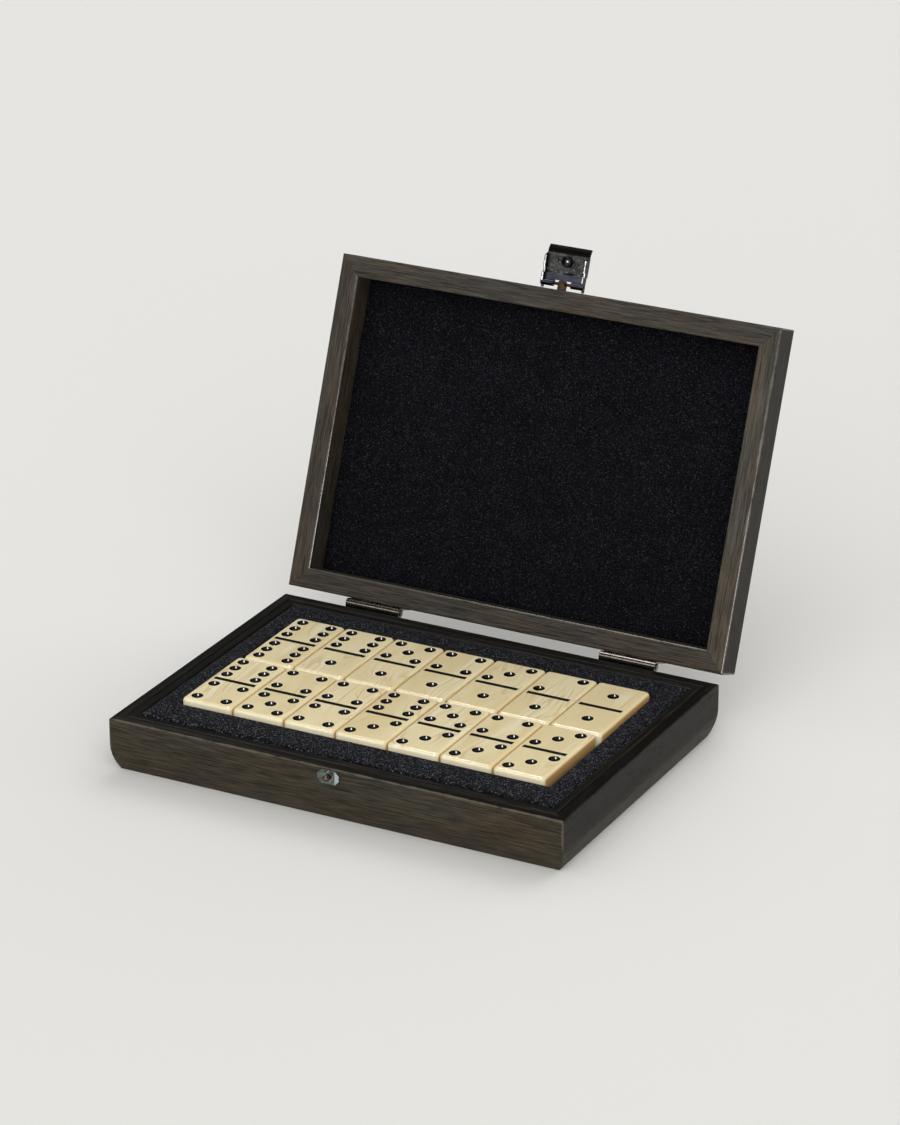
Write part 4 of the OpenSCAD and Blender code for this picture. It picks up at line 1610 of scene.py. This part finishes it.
class DOMINOBOX_OT_latch(bpy.types.Operator):
    """Finishes the flap latch on the lid and its strike on the case"""

    bl_idname = "dominobox.latch"
    bl_label = "Latch"

    def execute(self, context):
        metals = context.scene.domino_metal
        black = metal("gunmetal", metals.gunmetal)
        bright = metal("rubbed_steel", (0.62, 0.62, 0.62))
        blued = metal("blued_steel", (0.024, 0.025, 0.034))
        gold = metal("rod_brass", (0.034, 0.019, 0.012))
        self.rub_edges(bright)
        self.fleck(black)
        finishes = [black, bright, blued]
        flap = dress("latch_flap", "flap", "latch", SHEET_EDGE, finishes, 1)
        self.finish_flap(flap, metals)
        dark = metal("socket_metal", metals.gunmetal)
        # Painted highlight in the socket's bore
        self.paint_bore_highlight(dark)
        dress("latch_socket", "socket", "latch", ROD_EDGE, [dark])
        dress("latch_bracket", "bracket", "lid", SHEET_EDGE, [gold])
        outwards = OPENING.to_3x3() @ Vector((0, -1, 0))
        drive_screws(
            "latch_screws", "bracket_screws", "lid", outwards, black, 5, metals
        )
        dress("latch_pin", "rod", "lid", ROD_EDGE, [gold])
        nickel = metal("nickel", metals.nickel)
        # Painted highlight on the strike plate
        self.paint_plate_highlight(nickel)
        dress("strike_plate", "strike", "base", PLATE_EDGE, [nickel], segments=3)
        bronze = metal("stud_bronze", (0.12, 0.055, 0.036))
        lacquer(bronze, 0.12)
        stud = dress("strike_stud", "stud", "base", ROD_EDGE, [bronze, nickel])
        self.swell_ball(stud, metals)
        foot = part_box("strike_plate")[0].y - metals.ring_height - 0.05 * MM
        for face in stud.data.polygons:
            face.material_index = 1 if face.center.y > foot else 0
        return {"FINISHED"}

    def fleck(self, black):
        """Flecks the plate with bare metal and leaves the lip at its tip dark."""
        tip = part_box("latch_flap")[1].z
        tree = black.node_tree
        vector = own_place(tree)
        bare = spread(tree, cloud(tree, vector, 8, 1400.0, 1.0), 0.48, 0.70, 0.0, 0.8)
        self.recolor(black, bare, (0.085, 0.083, 0.075))
        at_lip = spread(tree, parts_of(tree, vector)[2], tip - 3.0 * MM, tip - 2.5 * MM)
        self.recolor(black, at_lip, (0.004, 0.0035, 0.003))

    def rub_edges(self, steel):
        """Keeps the steel bright only in places on the inner half of the flap's turned sides."""
        low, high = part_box("latch_flap")
        middle, half = (low.x + high.x) / 2, (high.x - low.x) / 2
        tree = steel.node_tree
        vector = own_place(tree)
        sideways = parts_of(tree, vector)[0]
        away = size(tree, minus(tree, sideways, middle))
        outside = spread(tree, away, half - 0.42 * MM, half - 0.28 * MM)
        self.recolor(steel, outside, (0.02, 0.02, 0.02))
        broken = spread(tree, cloud(tree, vector, 3, 260.0, 2.0), 0.40, 0.46, 1.0, 0.0)
        self.recolor(steel, broken, (0.012, 0.011, 0.010))

    def paint_bore_highlight(self, dark):
        """Paints a highlight on the bottom of the socket's bore: a bright spot round its middle.
        """
        low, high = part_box("latch_socket")
        tree = dark.node_tree
        vector = own_place(tree)
        away = place(
            tree, "ShaderNodeVectorMath", {0: vector, 1: (low + high) / 2}, operation="DISTANCE"
        ).outputs[1]
        # Painted highlight: the metal turns bright near the middle of the bore
        bore_highlight = spread(tree, away, 0.5 * MM, 0.8 * MM, 1.0, 0.0)
        self.recolor(dark, bore_highlight, (0.55, 0.55, 0.55))

    def recolor(self, material, mask, color):
        """Lays another colour over a metal where the mask is 1."""
        tree = material.node_tree
        shader = tree.nodes["Principled BSDF"]
        under = shader.inputs["Base Color"].links[0].from_socket
        tree.links.new(tint(tree, mask, under, color), shader.inputs["Base Color"])

    def paint_plate_highlight(self, nickel):
        """Darkens all the nickel a little as tarnish, and paints a highlight on it to the right of
        the stud.
        """
        tree = nickel.node_tree
        low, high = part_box("strike_plate")
        middle = (low.x + high.x) / 2
        sideways = parts_of(tree, own_place(tree))[0]
        # Painted highlight: a bright band near the plate's right edge
        clean = spread(tree, sideways, middle + 2.4 * MM, middle + 3.6 * MM)
        self.recolor(nickel, 0.3, (0.02, 0.03, 0.022))
        self.recolor(nickel, clean, (0.50, 0.56, 0.58))

    def swell_ball(self, stud, metals):
        """Fills the ball of the stud out to its glossy lacquer."""
        low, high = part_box("strike_stud")
        centre = (low + high) / 2
        centre.y = low.y + metals.ball_radius
        for vertex in stud.data.vertices:
            away = vertex.co - centre
            if away.length < metals.ball_radius * 1.06:
                vertex.co = centre + away * (1 + metals.lacquer / metals.ball_radius)

    def finish_flap(self, flap, metals):
        """Blues the band by the rod, and leaves bare the edges that face the case."""
        pin = CLOSING @ LATCH_PIN
        turn = CLOSING.to_3x3()
        low, high = closed_box("latch_flap")
        side_metal = 0.5 * MM
        for face in flap.data.polygons:
            middle = CLOSING @ face.center
            inner_side = (turn @ face.normal).z < -0.6
            from_side = min(middle.x - low.x, high.x - middle.x)
            face.material_index = 0
            if inner_side and from_side < side_metal:
                face.material_index = 1
            elif inner_side and middle.y > pin.y - metals.band_length:
                face.material_index = 2


class DOMINOBOX_PT_parts(bpy.types.Panel):
    """Lists the parts of the box"""

    bl_idname = "DOMINOBOX_PT_parts"
    bl_label = "Domino storage box"
    bl_space_type = "VIEW_3D"
    bl_region_type = "UI"
    bl_category = "Domino box"

    def draw(self, context):
        """A button for each operator, and a box for each group of settings."""
        for operator in OPERATORS:
            self.layout.operator(operator.bl_idname)
        for name in SETTINGS:
            box = self.layout.box()
            group = getattr(context.scene, name)
            for key in SETTINGS[name].__annotations__:
                box.prop(group, key)


SETTINGS = {
    "domino_stage": StageSettings,
    "domino_wood": WoodSettings,
    "domino_velvet": VelvetSettings,
    "domino_set": DominoSettings,
    "domino_metal": MetalSettings,
}
OPERATORS = (
    DOMINOBOX_OT_stage,
    DOMINOBOX_OT_case,
    DOMINOBOX_OT_lid,
    DOMINOBOX_OT_velvet,
    DOMINOBOX_OT_dominoes,
    DOMINOBOX_OT_hinges,
    DOMINOBOX_OT_latch,
)


def register():
    """Makes the settings, the operators and the panel known."""
    for group in SETTINGS.values():
        bpy.utils.register_class(group)
    for name, group in SETTINGS.items():
        setattr(bpy.types.Scene, name, PointerProperty(type=group))
    for operator in OPERATORS:
        bpy.utils.register_class(operator)
    bpy.utils.register_class(DOMINOBOX_PT_parts)


def unregister():
    """Takes them away again."""
    bpy.utils.unregister_class(DOMINOBOX_PT_parts)
    for operator in reversed(OPERATORS):
        bpy.utils.unregister_class(operator)
    for name, group in SETTINGS.items():
        delattr(bpy.types.Scene, name)
        bpy.utils.unregister_class(group)


def main():
    """Builds the whole scene."""
    register()
    bpy.ops.dominobox.stage()
    bpy.ops.dominobox.case()
    bpy.ops.dominobox.lid()
    bpy.ops.dominobox.velvet()
    bpy.ops.dominobox.dominoes()
    bpy.ops.dominobox.hinges()
    bpy.ops.dominobox.latch()


if __name__ == "__main__":
    main()
